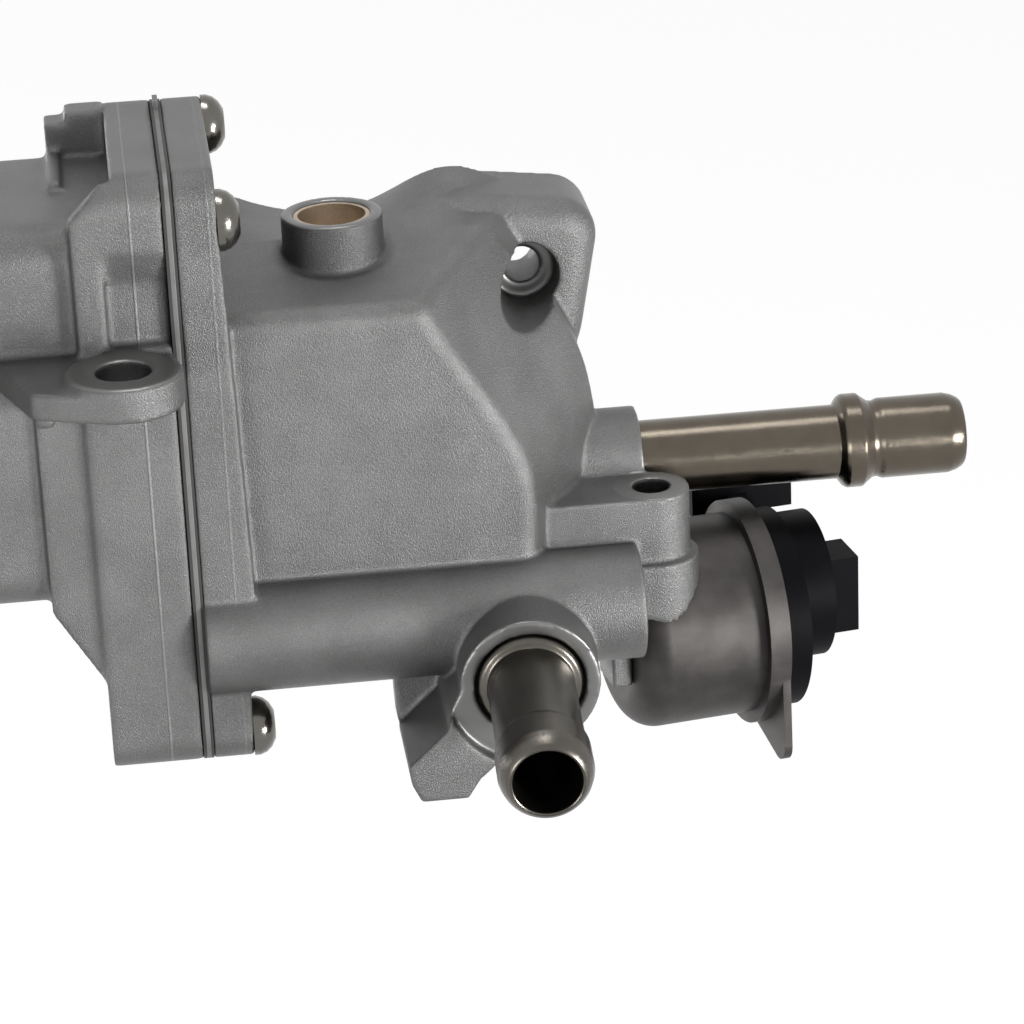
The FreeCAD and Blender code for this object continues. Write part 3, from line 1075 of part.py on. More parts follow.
# Write the nodes
os.makedirs("parts", exist_ok=True)
TUBE_START = HEADER_END
TUBE_END = PLATE_X + PLATE_THICK + TUBE_STICKOUT
save(make_housing(), "core_housing")
save(make_gasket(HOUSING_LENGTH), "housing_gasket")
save(make_tube_plate(), "tube_plate")
save(make_gasket(PLATE_X + PLATE_THICK), "cover_gasket")
save(make_inlet_header(), "inlet_header")
save(make_tubes(TUBE_WALL, TUBE_R, tube_places(), TUBE_START, TUBE_END), "gas_tubes")
save(make_tubes(BYPASS_WALL, BYPASS_R, [(BYPASS_Y, BYPASS_Z)], TUBE_START, TUBE_END), "bypass_tube")
save(make_baffles(), "baffles")
save(make_cover(), "outlet_cover")
save(make_screws(), "cover_screws")
save(make_front_spigot(), "front_spigot")
save(make_side_spigot(), "side_spigot")
save(make_plug(), "core_plug")
save(make_bush(), "flap_bush")
save(make_seal(), "shaft_seal")
save(make_can(), "actuator_can")
save(make_diaphragm(), "actuator_diaphragm")
save(make_cap(), "actuator_cap")
save(make_actuator_nuts(), "actuator_nuts")
save(make_spring(), "return_spring")
save(make_shaft(), "flap_shaft")
save(make_flap(), "bypass_flap")
save(make_flap_screws(), "flap_screws")
save(make_lever(), "flap_lever")
save(make_lever_pin(), "lever_pin")
save(make_lever_nut(), "lever_nut")
save(make_pin_clip(), "pin_clip")
save(make_rod(), "actuator_rod")
save(make_piston(), "piston_plate")
save(make_rod_nut(), "rod_nut")
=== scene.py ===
"""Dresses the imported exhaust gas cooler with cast, nickel, steel and plastic finishes."""
from __future__ import annotations

import json
import logging
import math
from dataclasses import dataclass
from enum import Enum
from typing import Any, Union

import bmesh
import bpy
from mathutils import Matrix, Vector

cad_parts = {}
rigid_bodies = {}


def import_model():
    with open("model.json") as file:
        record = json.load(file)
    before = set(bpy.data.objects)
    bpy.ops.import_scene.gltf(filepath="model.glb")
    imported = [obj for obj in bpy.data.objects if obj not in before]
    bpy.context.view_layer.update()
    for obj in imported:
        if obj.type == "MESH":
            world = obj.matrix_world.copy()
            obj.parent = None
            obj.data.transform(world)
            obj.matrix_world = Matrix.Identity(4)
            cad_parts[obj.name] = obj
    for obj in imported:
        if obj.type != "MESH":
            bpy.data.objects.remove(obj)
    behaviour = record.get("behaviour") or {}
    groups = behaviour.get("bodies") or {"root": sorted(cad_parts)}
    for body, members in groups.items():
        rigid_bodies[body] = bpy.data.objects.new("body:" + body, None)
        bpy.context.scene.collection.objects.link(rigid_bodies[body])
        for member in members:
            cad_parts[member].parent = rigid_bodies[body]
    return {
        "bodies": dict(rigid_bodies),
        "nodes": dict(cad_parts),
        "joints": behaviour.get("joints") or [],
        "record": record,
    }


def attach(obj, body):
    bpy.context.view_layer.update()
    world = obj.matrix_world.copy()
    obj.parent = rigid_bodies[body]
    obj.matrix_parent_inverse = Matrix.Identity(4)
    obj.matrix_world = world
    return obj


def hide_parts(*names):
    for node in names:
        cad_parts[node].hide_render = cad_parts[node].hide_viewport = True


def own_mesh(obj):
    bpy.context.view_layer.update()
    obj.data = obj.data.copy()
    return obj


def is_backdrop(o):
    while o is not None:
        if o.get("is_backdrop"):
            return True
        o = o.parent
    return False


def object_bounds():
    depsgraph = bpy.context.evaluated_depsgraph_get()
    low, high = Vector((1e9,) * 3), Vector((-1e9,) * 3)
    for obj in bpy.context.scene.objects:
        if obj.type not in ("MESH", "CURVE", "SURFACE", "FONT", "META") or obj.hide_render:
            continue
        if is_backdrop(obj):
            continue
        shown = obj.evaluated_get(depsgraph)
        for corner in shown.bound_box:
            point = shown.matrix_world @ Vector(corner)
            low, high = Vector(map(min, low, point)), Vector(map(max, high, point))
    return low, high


LOG = logging.getLogger("cooler")
MM = 0.001
MERGE_DISTANCE = 1e-6
BORE_BLEND = 0.05
WHITE = (1.0, 1.0, 1.0, 1.0)
Pair = tuple[float, float]
Triple = tuple[float, float, float]
Number = Union[float, "Wire"]


class Slot(Enum):
    """Material slots of the record."""

    CAST = "cast"
    TUBE = "tube"
    STEEL = "steel"
    GASKET = "gasket"
    SCREW = "screw"
    CAN = "can"
    CAP = "cap"
    RUBBER = "rubber"
    BRONZE = "bronze"


def paint(colour: Triple, scale: float = 1.0) -> tuple[float, float, float, float]:
    """Return an opaque colour, made brighter or darker by a factor."""
    return (colour[0] * scale, colour[1] * scale, colour[2] * scale, 1.0)


class Wire:
    """A shader socket with arithmetic on it."""

    def __init__(self, bench: Bench, socket: bpy.types.NodeSocket) -> None:
        """Wrap a socket.

        Args:
            bench: node builder that owns the socket.
            socket: output socket to wrap.
        """
        self.bench = bench
        self.socket = socket

    def _maths(self, operation: str, first: Number, second: Number = 0.0) -> Wire:
        """Return one Math node's result."""
        return self.bench.node("ShaderNodeMath", {"operation": operation}, {0: first, 1: second})

    def __add__(self, other: Number) -> Wire:
        """Return the sum."""
        return self._maths("ADD", self, other)

    __radd__ = __add__

    def __sub__(self, other: Number) -> Wire:
        """Return the difference."""
        return self._maths("SUBTRACT", self, other)

    def __rsub__(self, other: Number) -> Wire:
        """Return the difference the other way round."""
        return self._maths("SUBTRACT", other, self)

    def __mul__(self, other: Number) -> Wire:
        """Return the product."""
        return self._maths("MULTIPLY", self, other)

    __rmul__ = __mul__

    def absolute(self) -> Wire:
        """Return the size without its sign."""
        return self._maths("ABSOLUTE", self)

    def under(self, limit: Number) -> Wire:
        """Return 1 where the value is below a limit."""
        return self._maths("LESS_THAN", self, limit)

    def over(self, limit: Number) -> Wire:
        """Return 1 where the value is above a limit."""
        return self._maths("GREATER_THAN", self, limit)

    def at_least(self, other: Number) -> Wire:
        """Return the larger of two values."""
        return self._maths("MAXIMUM", self, other)

    def span(self, low: float, high: float, out_low: float = 0.0, out_high: float = 1.0) -> Wire:
        """Map a span smoothly to another one.

        Args:
            low: value that gives out_low.
            high: value that gives out_high.
            out_low: result at low.
            out_high: result at high.

        Returns:
            The mapped value.
        """
        settings = {"interpolation_type": "SMOOTHSTEP"}
        return self.bench.node("ShaderNodeMapRange", settings,
                               {"Value": self, 1: low, 2: high, 3: out_low, 4: out_high})


class Bench:
    """Builds the nodes of one material or world."""

    def __init__(self, owner: bpy.types.Material | bpy.types.World) -> None:
        """Start with an empty node tree.

        Args:
            owner: material or world that the nodes belong to.
        """
        self.owner = owner
        owner.use_nodes = True
        self.tree = owner.node_tree
        self.tree.nodes.clear()

    def node(self, kind: str, settings: dict[str, Any], inputs: dict[Any, Any], out: Any = 0) -> Wire:
        """Add one node.

        Args:
            kind: node type.
            settings: attributes set before the inputs.
            inputs: values or wires by socket.
            out: output socket to return.

        Returns:
            The chosen output.
        """
        made = self.tree.nodes.new(kind)
        for key, value in settings.items():
            setattr(made, key, value)
        for key, value in inputs.items():
            if isinstance(value, Wire):
                self.tree.links.new(value.socket, made.inputs[key])
            else:
                made.inputs[key].default_value = value
        return Wire(self, made.outputs[out])

    def background_ray(self) -> Wire:
        """Return 1 for the rays that show the background, which are camera, glossy and transmission rays."""
        kinds = ("Is Camera Ray", "Is Glossy Ray", "Is Transmission Ray")
        camera, glossy, through = (self.node("ShaderNodeLightPath", {}, {}, kind) for kind in kinds)
        return camera.at_least(glossy).at_least(through)

    def place(self) -> Wire:
        """Return the object coordinates."""
        return self.node("ShaderNodeTexCoord", {}, {}, "Object")

    def axes(self) -> tuple[Wire, Wire, Wire]:
        """Return the object coordinates one by one, in millimetres."""
        inputs = {0: self.place(), "Scale": 1 / MM}
        scaled = self.node("ShaderNodeVectorMath", {"operation": "SCALE"}, inputs)
        return tuple(self.node("ShaderNodeSeparateXYZ", {}, {0: scaled}, side) for side in range(3))

    def noise(self, size: float, detail: float = 2.0, stretch: Triple = (1, 1, 1)) -> Wire:
        """Return a noise pattern.

        Args:
            size: width of its blots in millimetres.
            detail: amount of finer noise in it.
            stretch: factor on each axis.

        Returns:
            Values about 0.5.
        """
        moved = self.node("ShaderNodeMapping", {}, {"Vector": self.place(), "Scale": stretch})
        inputs = {"Vector": moved, "Scale": 1 / (size * MM), "Detail": detail}
        return self.node("ShaderNodeTexNoise", {}, inputs)

    def vector(self, operation: str, first: Any, second: Any, out: int = 0) -> Wire:
        """Return one Vector Math node's result.

        Args:
            operation: what the node does.
            first: first vector.
            second: second vector.
            out: 0 for a vector, 1 for a number.

        Returns:
            The result.
        """
        return self.node("ShaderNodeVectorMath", {"operation": operation}, {0: first, 1: second}, out)

    def offset(self, point: Triple) -> Wire:
        """Return the way from a point in millimetres to the shaded spot, in metres."""
        return self.vector("SUBTRACT", self.place(), tuple(value * MM for value in point))

    def length(self, vector: Wire) -> Wire:
        """Return a vector's length."""
        return self.node("ShaderNodeVectorMath", {"operation": "LENGTH"}, {0: vector}, 1)

    def blend(self, factor: Number, first: Any, second: Any) -> Wire:
        """Return a colour between two colours."""
        return self.node("ShaderNodeMix", {"data_type": "RGBA"}, {0: factor, 6: first, 7: second}, 2)

    def near_plane(self, point: Triple, normal: Triple, inner: float, outer: float,
                   depth: float = 0.5) -> Wire:
        """Return 1 on a flat ring.

        Args:
            point: centre of the ring in millimetres.
            normal: direction that the ring faces.
            inner: radius inside it in millimetres.
            outer: radius outside it in millimetres.
            depth: half thickness of the layer in millimetres.

        Returns:
            The mask.
        """
        offset = self.offset(point)
        along = self.vector("DOT_PRODUCT", offset, tuple(Vector(normal).normalized()), 1)
        away = self.length(offset)
        close = along.absolute().under(depth * MM)
        return close * away.under(outer * MM) * away.over(inner * MM)

    def near_axis(self, point: Triple, along: Triple, radius: float, reach: float,
                  soft: float = BORE_BLEND) -> Wire:
        """Return 1 inside a cylinder.

        Args:
            point: middle of its axis in millimetres.
            along: direction of its axis.
            radius: its radius in millimetres.
            reach: half its length in millimetres.
            soft: width of the blend at its border in millimetres.

        Returns:
            The mask.
        """
        offset = self.offset(point)
        direction = tuple(Vector(along).normalized())
        ahead = self.vector("DOT_PRODUCT", offset, direction, 1)
        away = self.length(self.vector("CROSS_PRODUCT", offset, direction)) * (1 / MM)
        close = away.span(radius, radius + soft, 1.0, 0.0)
        return close * (ahead.absolute() * (1 / MM)).span(reach, reach + soft, 1.0, 0.0)

    def finish(self, colour: Any, roughness: Number, metallic: Number, height: Wire, bump: float,
               gloss: float = 0.5) -> bpy.types.Material:
        """Close the material with a surface shader.

        Args:
            colour: base colour.
            roughness: roughness.
            metallic: metallic share.
            height: height in 0 to 1 for the bump.
            bump: bump depth in millimetres.
            gloss: specular level of what isn't metal.

        Returns:
            The material.
        """
        relief = {"Strength": 1.0, "Distance": bump * MM, "Height": height}
        inputs = {"Base Color": colour, "Roughness": roughness, "Metallic": metallic,
                  "Specular IOR Level": gloss, "Normal": self.node("ShaderNodeBump", {}, relief)}
        return self.close(self.node("ShaderNodeBsdfPrincipled", {}, inputs))

    def close(self, surface: Wire) -> bpy.types.Material | bpy.types.World:
        """Link a shader to the output.

        Args:
            surface: shader to show.

        Returns:
            The material or world.
        """
        for_world = isinstance(self.owner, bpy.types.World)
        end = self.tree.nodes.new("ShaderNodeOutputWorld" if for_world else "ShaderNodeOutputMaterial")
        self.tree.links.new(surface.socket, end.inputs["Surface"])
        return self.owner


@dataclass(frozen=True)
class Ring:
    """A machined ring face, in millimetres: its centre, where it faces and its two radii."""

    centre: Triple
    facing: Triple
    inner: float
    outer: float


@dataclass(frozen=True)
class Bore:
    """A bore or a post, in millimetres: middle and direction of its axis, radius and half length."""

    middle: Triple
    along: Triple
    radius: float
    reach: float = 60.0


@dataclass(frozen=True)
class CastFinish:
    """Sand-blasted cast aluminium with machined faces, turned posts with painted shade on their sides,
    painted shade inside the bores and a parting seam.

    Lengths are in millimetres. The colours dark and pale are factors on grey.
    """

    rings: tuple[Ring, ...]
    bores: tuple[Bore, ...]
    seam: float
    seam_share: float
    turned_posts: tuple[Bore, ...] = ()
    grey: float = 0.138
    dark: Triple = (0.72, 0.72, 0.71)
    pale: Triple = (1.30, 1.30, 1.29)
    machined_colour: Triple = (0.17, 0.17, 0.167)
    # Painted shade: the colour and share that darken the sides of the turned posts.
    post_shade_colour: Triple = (0.05, 0.05, 0.05)
    post_shade_share: float = 0.7
    turned_blend: float = 2.5
    # Painted shade: the colour that darkens the insides of the bores.
    bore_shade_colour: Triple = (0.045, 0.045, 0.044)
    seam_colour: Triple = (0.3, 0.3, 0.3)
    seam_from: float = -36.0
    seam_core: float = 0.1
    seam_edge: float = 0.4
    seam_height: float = 2.5
    grain: float = 0.26
    grain_band: Pair = (0.33, 0.67)
    grain_share: float = 0.45
    speck: float = 0.39
    speck_band: Pair = (0.5, 0.75)
    speck_share: float = 0.25
    speck_height: float = 0.35
    blot: float = 14.0
    blot_band: Pair = (0.3, 0.7)
    blot_share: float = 0.3
    blot_rough: float = 0.06
    rough: float = 0.36
    turned_smooth: float = 0.06
    metallic: float = 0.74
    machined_metallic: float = 0.1
    bump: float = 0.2

    def inside(self, bench: Bench, solids: tuple[Bore, ...], soft: float = BORE_BLEND) -> Number:
        """Return 1 inside any of the cylinders.

        Args:
            bench: node builder.
            solids: cylinders.
            soft: width of the blend at their border in millimetres.

        Returns:
            The mask, or 0 where there are none.
        """
        mask: Number = 0.0
        for solid in solids:
            mask = bench.near_axis(solid.middle, solid.along, solid.radius, solid.reach, soft) + mask
        return mask

    def build(self, name: str) -> bpy.types.Material:
        """Build the material.

        Args:
            name: name of the material.

        Returns:
            The material.
        """
        bench = Bench(bpy.data.materials.new(name))
        grain = bench.noise(self.grain, detail=3.0)
        speck = bench.noise(self.speck, detail=1.0)
        blot = bench.noise(self.blot, detail=3.0)
        tone = grain.span(*self.grain_band) * self.grain_share
        tone = tone + blot.span(*self.blot_band) * self.blot_share
        tone = tone + speck.span(*self.speck_band) * self.speck_share
        colour = bench.blend(tone, paint(self.dark, self.grey), paint(self.pale, self.grey))
        machined: Number = 0.0
        for ring in self.rings:
            machined = bench.near_plane(ring.centre, ring.facing, ring.inner, ring.outer) + machined
        across, depth, _ = bench.axes()
        seam = (across - self.seam).absolute().span(self.seam_core, self.seam_edge, 1.0, 0.0)
        seam = seam * depth.over(self.seam_from)
        turned = self.inside(bench, self.turned_posts, self.turned_blend)
        bore_shade = self.inside(bench, self.bores)
        # Painted shade darkens the sides of the turned posts; the same mask also lowers their roughness.
        colour = bench.blend(turned * self.post_shade_share, colour, paint(self.post_shade_colour))
        colour = bench.blend(seam * self.seam_share, colour, paint(self.seam_colour))
        colour = bench.blend(machined, colour, paint(self.machined_colour))
        # Painted shade darkens the insides of the bores.
        colour = bench.blend(bore_shade, colour, paint(self.bore_shade_colour))
        rough = self.rough + blot * self.blot_rough - turned * self.turned_smooth
        metallic = machined * self.machined_metallic + self.metallic
        height = (grain + speck * self.speck_height) * (1.0 - machined)
        height = height + seam * (self.seam_height * self.seam_share)
        return bench.finish(colour, rough, metallic, height, self.bump)


@dataclass(frozen=True)
class MetalFinish:
    """Plated or plain steel, with fine drawing marks, light staining and painted shade inside an optional
    bore, in millimetres.
    """

    colour: Triple
    rough: float
    stretch: Triple = (1, 1, 1)
    stain: float = 0.2
    bore: Bore | None = None
    # Painted shade: the colour inside the bore.
    bore_shade_colour: Triple = (0.018, 0.016, 0.014)
    bore_rough: float = 0.25
    pale: float = 1.08
    band: Pair = (0.3, 0.7)
    mark_size: float = 0.5
    mark_share: float = 0.3
    mark_rough: float = 0.12
    stain_size: float = 7.0
    stain_share: float = 0.7
    stain_rough: float = 0.10
    bump: float = 0.03

    def build(self, name: str) -> bpy.types.Material:
        """Build the material.

        Args:
            name: name of the material.

        Returns:
            The material.
        """
        bench = Bench(bpy.data.materials.new(name))
        marks = bench.noise(self.mark_size, detail=3.0, stretch=self.stretch)
        stain = bench.noise(self.stain_size, detail=4.0)
        tone = stain.span(*self.band) * self.stain_share + marks.span(*self.band) * self.mark_share
        colour = bench.blend(tone, paint(self.colour, 1 - self.stain), paint(self.colour, self.pale))
        middle = (self.mark_rough + self.stain_rough) / 2
        rough = marks * self.mark_rough + stain * self.stain_rough + (self.rough - middle)
        if self.bore is not None:
            inside = bench.near_axis(self.bore.middle, self.bore.along, self.bore.radius, self.bore.reach)
            # Painted shade darkens the inside of the bore.
            colour = bench.blend(inside, colour, paint(self.bore_shade_colour))
            rough = rough + inside * self.bore_rough
        return bench.finish(colour, rough, 1.0, marks, self.bump)


@dataclass(frozen=True)
class PlasticFinish:
    """Moulded plastic or rubber with a fine spark-eroded grain, in millimetres."""

    colour: Triple
    rough: float
    gloss: float = 0.5
    grain: float = 0.35
    grain_band: Pair = (0.45, 0.7)
    grain_share: float = 0.4
    cloud: float = 12.0
    cloud_band: Pair = (0.3, 0.7)
    cloud_share: float = 0.6
    cloud_rough: float = 0.1
    pale: float = 1.6
    lift: float = 0.001
    bump: float = 0.03

    def build(self, name: str) -> bpy.types.Material:
        """Build the material.

        Args:
            name: name of the material.

        Returns:
            The material.
        """
        bench = Bench(bpy.data.materials.new(name))
        grain = bench.noise(self.grain)
        cloud = bench.noise(self.cloud)
        pale = tuple(value * self.pale + self.lift for value in self.colour)
        tone = cloud.span(*self.cloud_band) * self.cloud_share
        tone = tone + grain.span(*self.grain_band) * self.grain_share
        colour = bench.blend(tone, paint(self.colour), paint(pale))
        rough = cloud * self.cloud_rough + (self.rough - self.cloud_rough / 2)
        return bench.finish(colour, rough, 0.0, grain, self.bump, self.gloss)


ALONG: Triple = (1.0, 0.0, 0.0)
BACKWARD: Triple = (0.0, 1.0, 0.0)
UPWARD: Triple = (0.0, 0.0, 1.0)
FRONT_SPIGOT_WAY: Triple = (-0.0453, -0.9976, -0.0523)
ACTUATOR_TURN = Matrix.Rotation(math.radians(9.0), 4, "Z")
ACTUATOR_PLACE = Matrix.Translation((0.323451, 0.003107, -0.0786)) @ ACTUATOR_TURN

HOUSING = CastFinish(
    rings=(
        Ring((177.3, -49.0, 15.8), UPWARD, 6.1, 13.0),
        Ring((0.0, 0.0, 0.0), ALONG, 17.0, 50.0),
        Ring((60.0, 39.0, -14.0), BACKWARD, 8.9, 14.2),
    ),
    # Hole whose inside gets painted shade.
    bores=(Bore((177.3, -49.0, 11.0), UPWARD, 6.3, 4.7),),
    seam=181.3,
    seam_share=0.4,
)
COVER = CastFinish(
    rings=(
        Ring((264.3, -51.2, -68.2), FRONT_SPIGOT_WAY, 12.8, 19.0),
        Ring((228.1, -1.0, 32.8), UPWARD, 8.9, 12.0),
        Ring((298.9, -13.6, -36.7), UPWARD, 4.3, 9.0),
        Ring((274.0, 20.0, 9.0), BACKWARD, 4.3, 8.2),
        Ring((298.8, 7.7, -38.1), ALONG, 8.8, 12.8),
        Ring((250.0, 37.0, 0.0), BACKWARD, 16.9, 60.0),
    ),
    # Hole whose inside gets painted shade.
    bores=(Bore((298.9, -13.6, -44.5), UPWARD, 4.5, 7.7),),
    seam=198.6,
    seam_share=0.12,
    # Turned post whose sides get painted shade.
    turned_posts=(Bore((228.1, -1.0, 25.0), UPWARD, 12.6, 7.4),),
)
# Spigot bores whose insides get painted shade.
SIDE_BORE = Bore((338.0, 7.7, -38.1), ALONG, 7.6)
FRONT_BORE = Bore((263.4, -71.0, -69.2), FRONT_SPIGOT_WAY, 7.9)
FINISHES = {
    "housing": ("cast_housing", HOUSING),
    "cover": ("cast_cover", COVER),
    "tube": ("satin_nickel", MetalFinish((0.115, 0.1, 0.08), 0.19, (8, 1, 1), 0.1, SIDE_BORE)),
    "hose": ("satin_nickel_front", MetalFinish((0.11, 0.102, 0.09), 0.23, (1, 8, 1), 0.1, FRONT_BORE)),
    "steel": ("bright_steel", MetalFinish((0.33, 0.32, 0.305), 0.30, (1, 1, 6))),
    "plate": ("plate_steel", MetalFinish((0.19, 0.185, 0.18), 0.6, (1, 1, 6))),
    "screw": ("screw_nickel", MetalFinish((0.15, 0.143, 0.128), 0.2, stain=0.1)),
    "can": ("can_steel", MetalFinish((0.066, 0.062, 0.060), 0.48, (1, 6, 6), 0.3)),
    "gasket": ("gasket_black", PlasticFinish((0.02, 0.02, 0.02), 0.6)),
    "cap": ("cap_plastic", PlasticFinish((0.0018, 0.0018, 0.0025), 0.5, 0.05)),
    "rubber": ("black_rubber", PlasticFinish((0.02, 0.02, 0.02), 0.7)),
    "bronze": ("sintered_bronze", MetalFinish((0.55, 0.38, 0.2), 0.4)),
    "plug": ("plug_steel", MetalFinish((0.55, 0.46, 0.36), 0.5, stain=0.35)),
}


class Workshop:
    """Makes finished pieces out of the frame's nodes."""

    bevel_segments = 2
    cast_calm = 0.5
    cast_angle = 60.0

    def __init__(self, frame: dict[str, Any], materials: dict[str, bpy.types.Material]) -> None:
        """Keep the frame and the materials.

        Args:
            materials: materials by name.
        """
        self.frame = frame
        self.materials = materials

    def owner(self, node: str) -> str:
        """Return the body that a node rides on."""
        for body, nodes in self.frame["record"]["behaviour"]["bodies"].items():
            if node in nodes:
                return body
        raise ValueError(node)

    def merged(self, node: str) -> bpy.types.Mesh:
        """Return a copy of a node's mesh with its doubled points merged."""
        mesh = self.frame["nodes"][node].data.copy()
        work = bmesh.new()
        work.from_mesh(mesh)
        bmesh.ops.remove_doubles(work, verts=work.verts, dist=MERGE_DISTANCE)
        for face in work.faces:
            face.smooth = True
            face.material_index = 0
        work.to_mesh(mesh)
        work.free()
        mesh.materials.clear()
        return mesh

    def publish(self, piece: bpy.types.Object, material: str, slot: Slot, body: str,
                *nodes: str) -> None:
        """Give a piece its material and its place in the frame.

        Args:
            piece: finished object.
            material: name of its material.
            slot: record slot of its finish; not used.
            body: body that it rides on.
            nodes: nodes that it stands for.
        """
        if not piece.data.materials:
            piece.data.materials.append(self.materials[material])
        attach(piece, body)
        if nodes:
            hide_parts(*nodes)
        LOG.info("%s: %d faces", piece.name, len(piece.data.polygons))

    def bake(self, piece: bpy.types.Object) -> None:
        """Replace a piece by the plain mesh that its modifiers give."""
        graph = bpy.context.evaluated_depsgraph_get()
        mesh = bpy.data.meshes.new_from_object(piece.evaluated_get(graph))
        piece.modifiers.clear()
        piece.data = mesh

    def object_of(self, name: str, mesh: bpy.types.Mesh) -> bpy.types.Object:
        """Link a mesh as an object."""
        piece = bpy.data.objects.new(name, mesh)
        bpy.context.scene.collection.objects.link(piece)
        return piece

    def crisp(self, node: str, material: str, slot: Slot, bevel: float = 0.0,
              angle: float = 32.0) -> bpy.types.Object:
        """Stand a lightly bevelled copy in for a node.

        Args:
            node: node to dress.
            material: name of its material.
            slot: record slot.
            bevel: width of the bevel in millimetres, or 0 for none.
            angle: edges sharper than this stay edges, in degrees.

        Returns:
            The finished piece.
        """
        piece = self.object_of(node + "_piece", self.merged(node))
        if bevel:
            round_off = piece.modifiers.new("round_off", "BEVEL")
            round_off.width = bevel * MM
            round_off.segments = self.bevel_segments
            round_off.limit_method = "ANGLE"
            round_off.angle_limit = math.radians(angle)
            round_off.use_clamp_overlap = True
            even = piece.modifiers.new("even", "WEIGHTED_NORMAL")
            even.keep_sharp = True
            self.bake(piece)
        else:
            piece.data.set_sharp_from_angle(angle=math.radians(angle))
        self.publish(piece, material, slot, self.owner(node), node)
        return piece

    def cast(self, node: str, material: str, voxel: float, passes: int, limit: int) -> None:
        """Stand a soft-edged casting in for a node.

        Args:
            node: node to dress.
            material: name of its material.
            voxel: grid size in millimetres.
            passes: smoothing passes.
            limit: triangles that are kept at most.
        """
        piece = self.object_of(node + "_piece", self.merged(node))
        grid = piece.modifiers.new("grid", "REMESH")
        grid.mode = "VOXEL"
        grid.voxel_size = voxel * MM
        calm = piece.modifiers.new("calm", "SMOOTH")
        calm.factor = self.cast_calm
        calm.iterations = passes
        self.bake(piece)
        thin = piece.modifiers.new("thin", "DECIMATE")
        thin.ratio = min(1.0, limit / (2 * len(piece.data.polygons)))
        self.bake(piece)
        piece.data.set_sharp_from_angle(angle=math.radians(self.cast_angle))
        self.publish(piece, material, Slot.CAST, self.owner(node), node)


@dataclass
class Castings:
    """Housing and end cover."""

    shop: Workshop
    housing_voxel: float = 0.8
    housing_passes: int = 4
    cover_voxel: float = 0.55
    cover_passes: int = 5
    triangles: int = 180000

    def build(self) -> None:
        """Make both castings."""
        self.shop.cast("core_housing", "housing", self.housing_voxel, self.housing_passes, self.triangles)
        self.shop.cast("outlet_cover", "cover", self.cover_voxel, self.cover_passes, self.triangles)


@dataclass
class Joint:
    """Sheets in the joint and the flange screws, with bevels in millimetres."""

    shop: Workshop
    plate_bevel: float = 0.15
    screw_bevel: float = 0.3

    def build(self) -> None:
        """Dress the sheets and screws."""
        self.shop.crisp("tube_plate", "plate", Slot.STEEL, self.plate_bevel)
        for node in ("housing_gasket", "cover_gasket"):
            self.shop.crisp(node, "gasket", Slot.GASKET)
        self.shop.crisp("cover_screws", "screw", Slot.SCREW, self.screw_bevel)


@dataclass
class Core:
    """Gas core inside the housing."""

    shop: Workshop

    def build(self) -> None:
        """Dress the tubes, the header and the baffles."""
        for node in ("inlet_header", "gas_tubes", "bypass_tube", "baffles"):
            self.shop.crisp(node, "steel", Slot.STEEL)


@dataclass
class Spigots:
    """Hose spigots and the cup plug, with bevels in millimetres."""

    shop: Workshop
    tube_bevel: float = 0.3
    tube_angle: float = 19.0
    plug_bevel: float = 0.25

    def build(self) -> None:
        """Dress the spigots and the plug."""
        self.shop.crisp("front_spigot", "hose", Slot.TUBE, self.tube_bevel, self.tube_angle)
        self.shop.crisp("side_spigot", "tube", Slot.TUBE, self.tube_bevel, self.tube_angle)
        self.shop.crisp("core_plug", "plug", Slot.STEEL, self.plug_bevel)


@dataclass
class Actuator:
    """Vacuum can, its cap, its inner pieces and its rod, in millimetres along the rod from the can's rim."""

    shop: Workshop
    can_bevel: float = 0.4
    cap_bevel: float = 0.6
    nut_bevel: float = 0.25
    rod_bevel: float = 0.2
    spring_start: float = -24.0
    spring_end: float = 15.1
    travel: float = 16.06014

    def build(self) -> None:
        """Dress the can, the cap and what moves."""
        self.shop.crisp("actuator_can", "can", Slot.CAN, self.can_bevel)
        self.shop.crisp("actuator_cap", "cap", Slot.CAP, self.cap_bevel)
        self.shop.crisp("actuator_nuts", "screw", Slot.SCREW, self.nut_bevel)
        self.shop.crisp("actuator_diaphragm", "rubber", Slot.RUBBER)
        self.spring()
        self.shop.crisp("actuator_rod", "steel", Slot.STEEL, self.rod_bevel)
        self.shop.crisp("piston_plate", "steel", Slot.STEEL, self.rod_bevel)
        self.shop.crisp("rod_nut", "screw", Slot.SCREW, self.rod_bevel)

    def spring(self) -> None:
        """Dress the return spring and give it a mesh of its own."""
        spring = self.shop.crisp("return_spring", "steel", Slot.STEEL)
        seat = ACTUATOR_PLACE @ Vector((self.spring_end * MM, 0.0, 0.0))
        keep = 1.0 - self.travel / (self.spring_end - self.spring_start)
        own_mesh(spring)


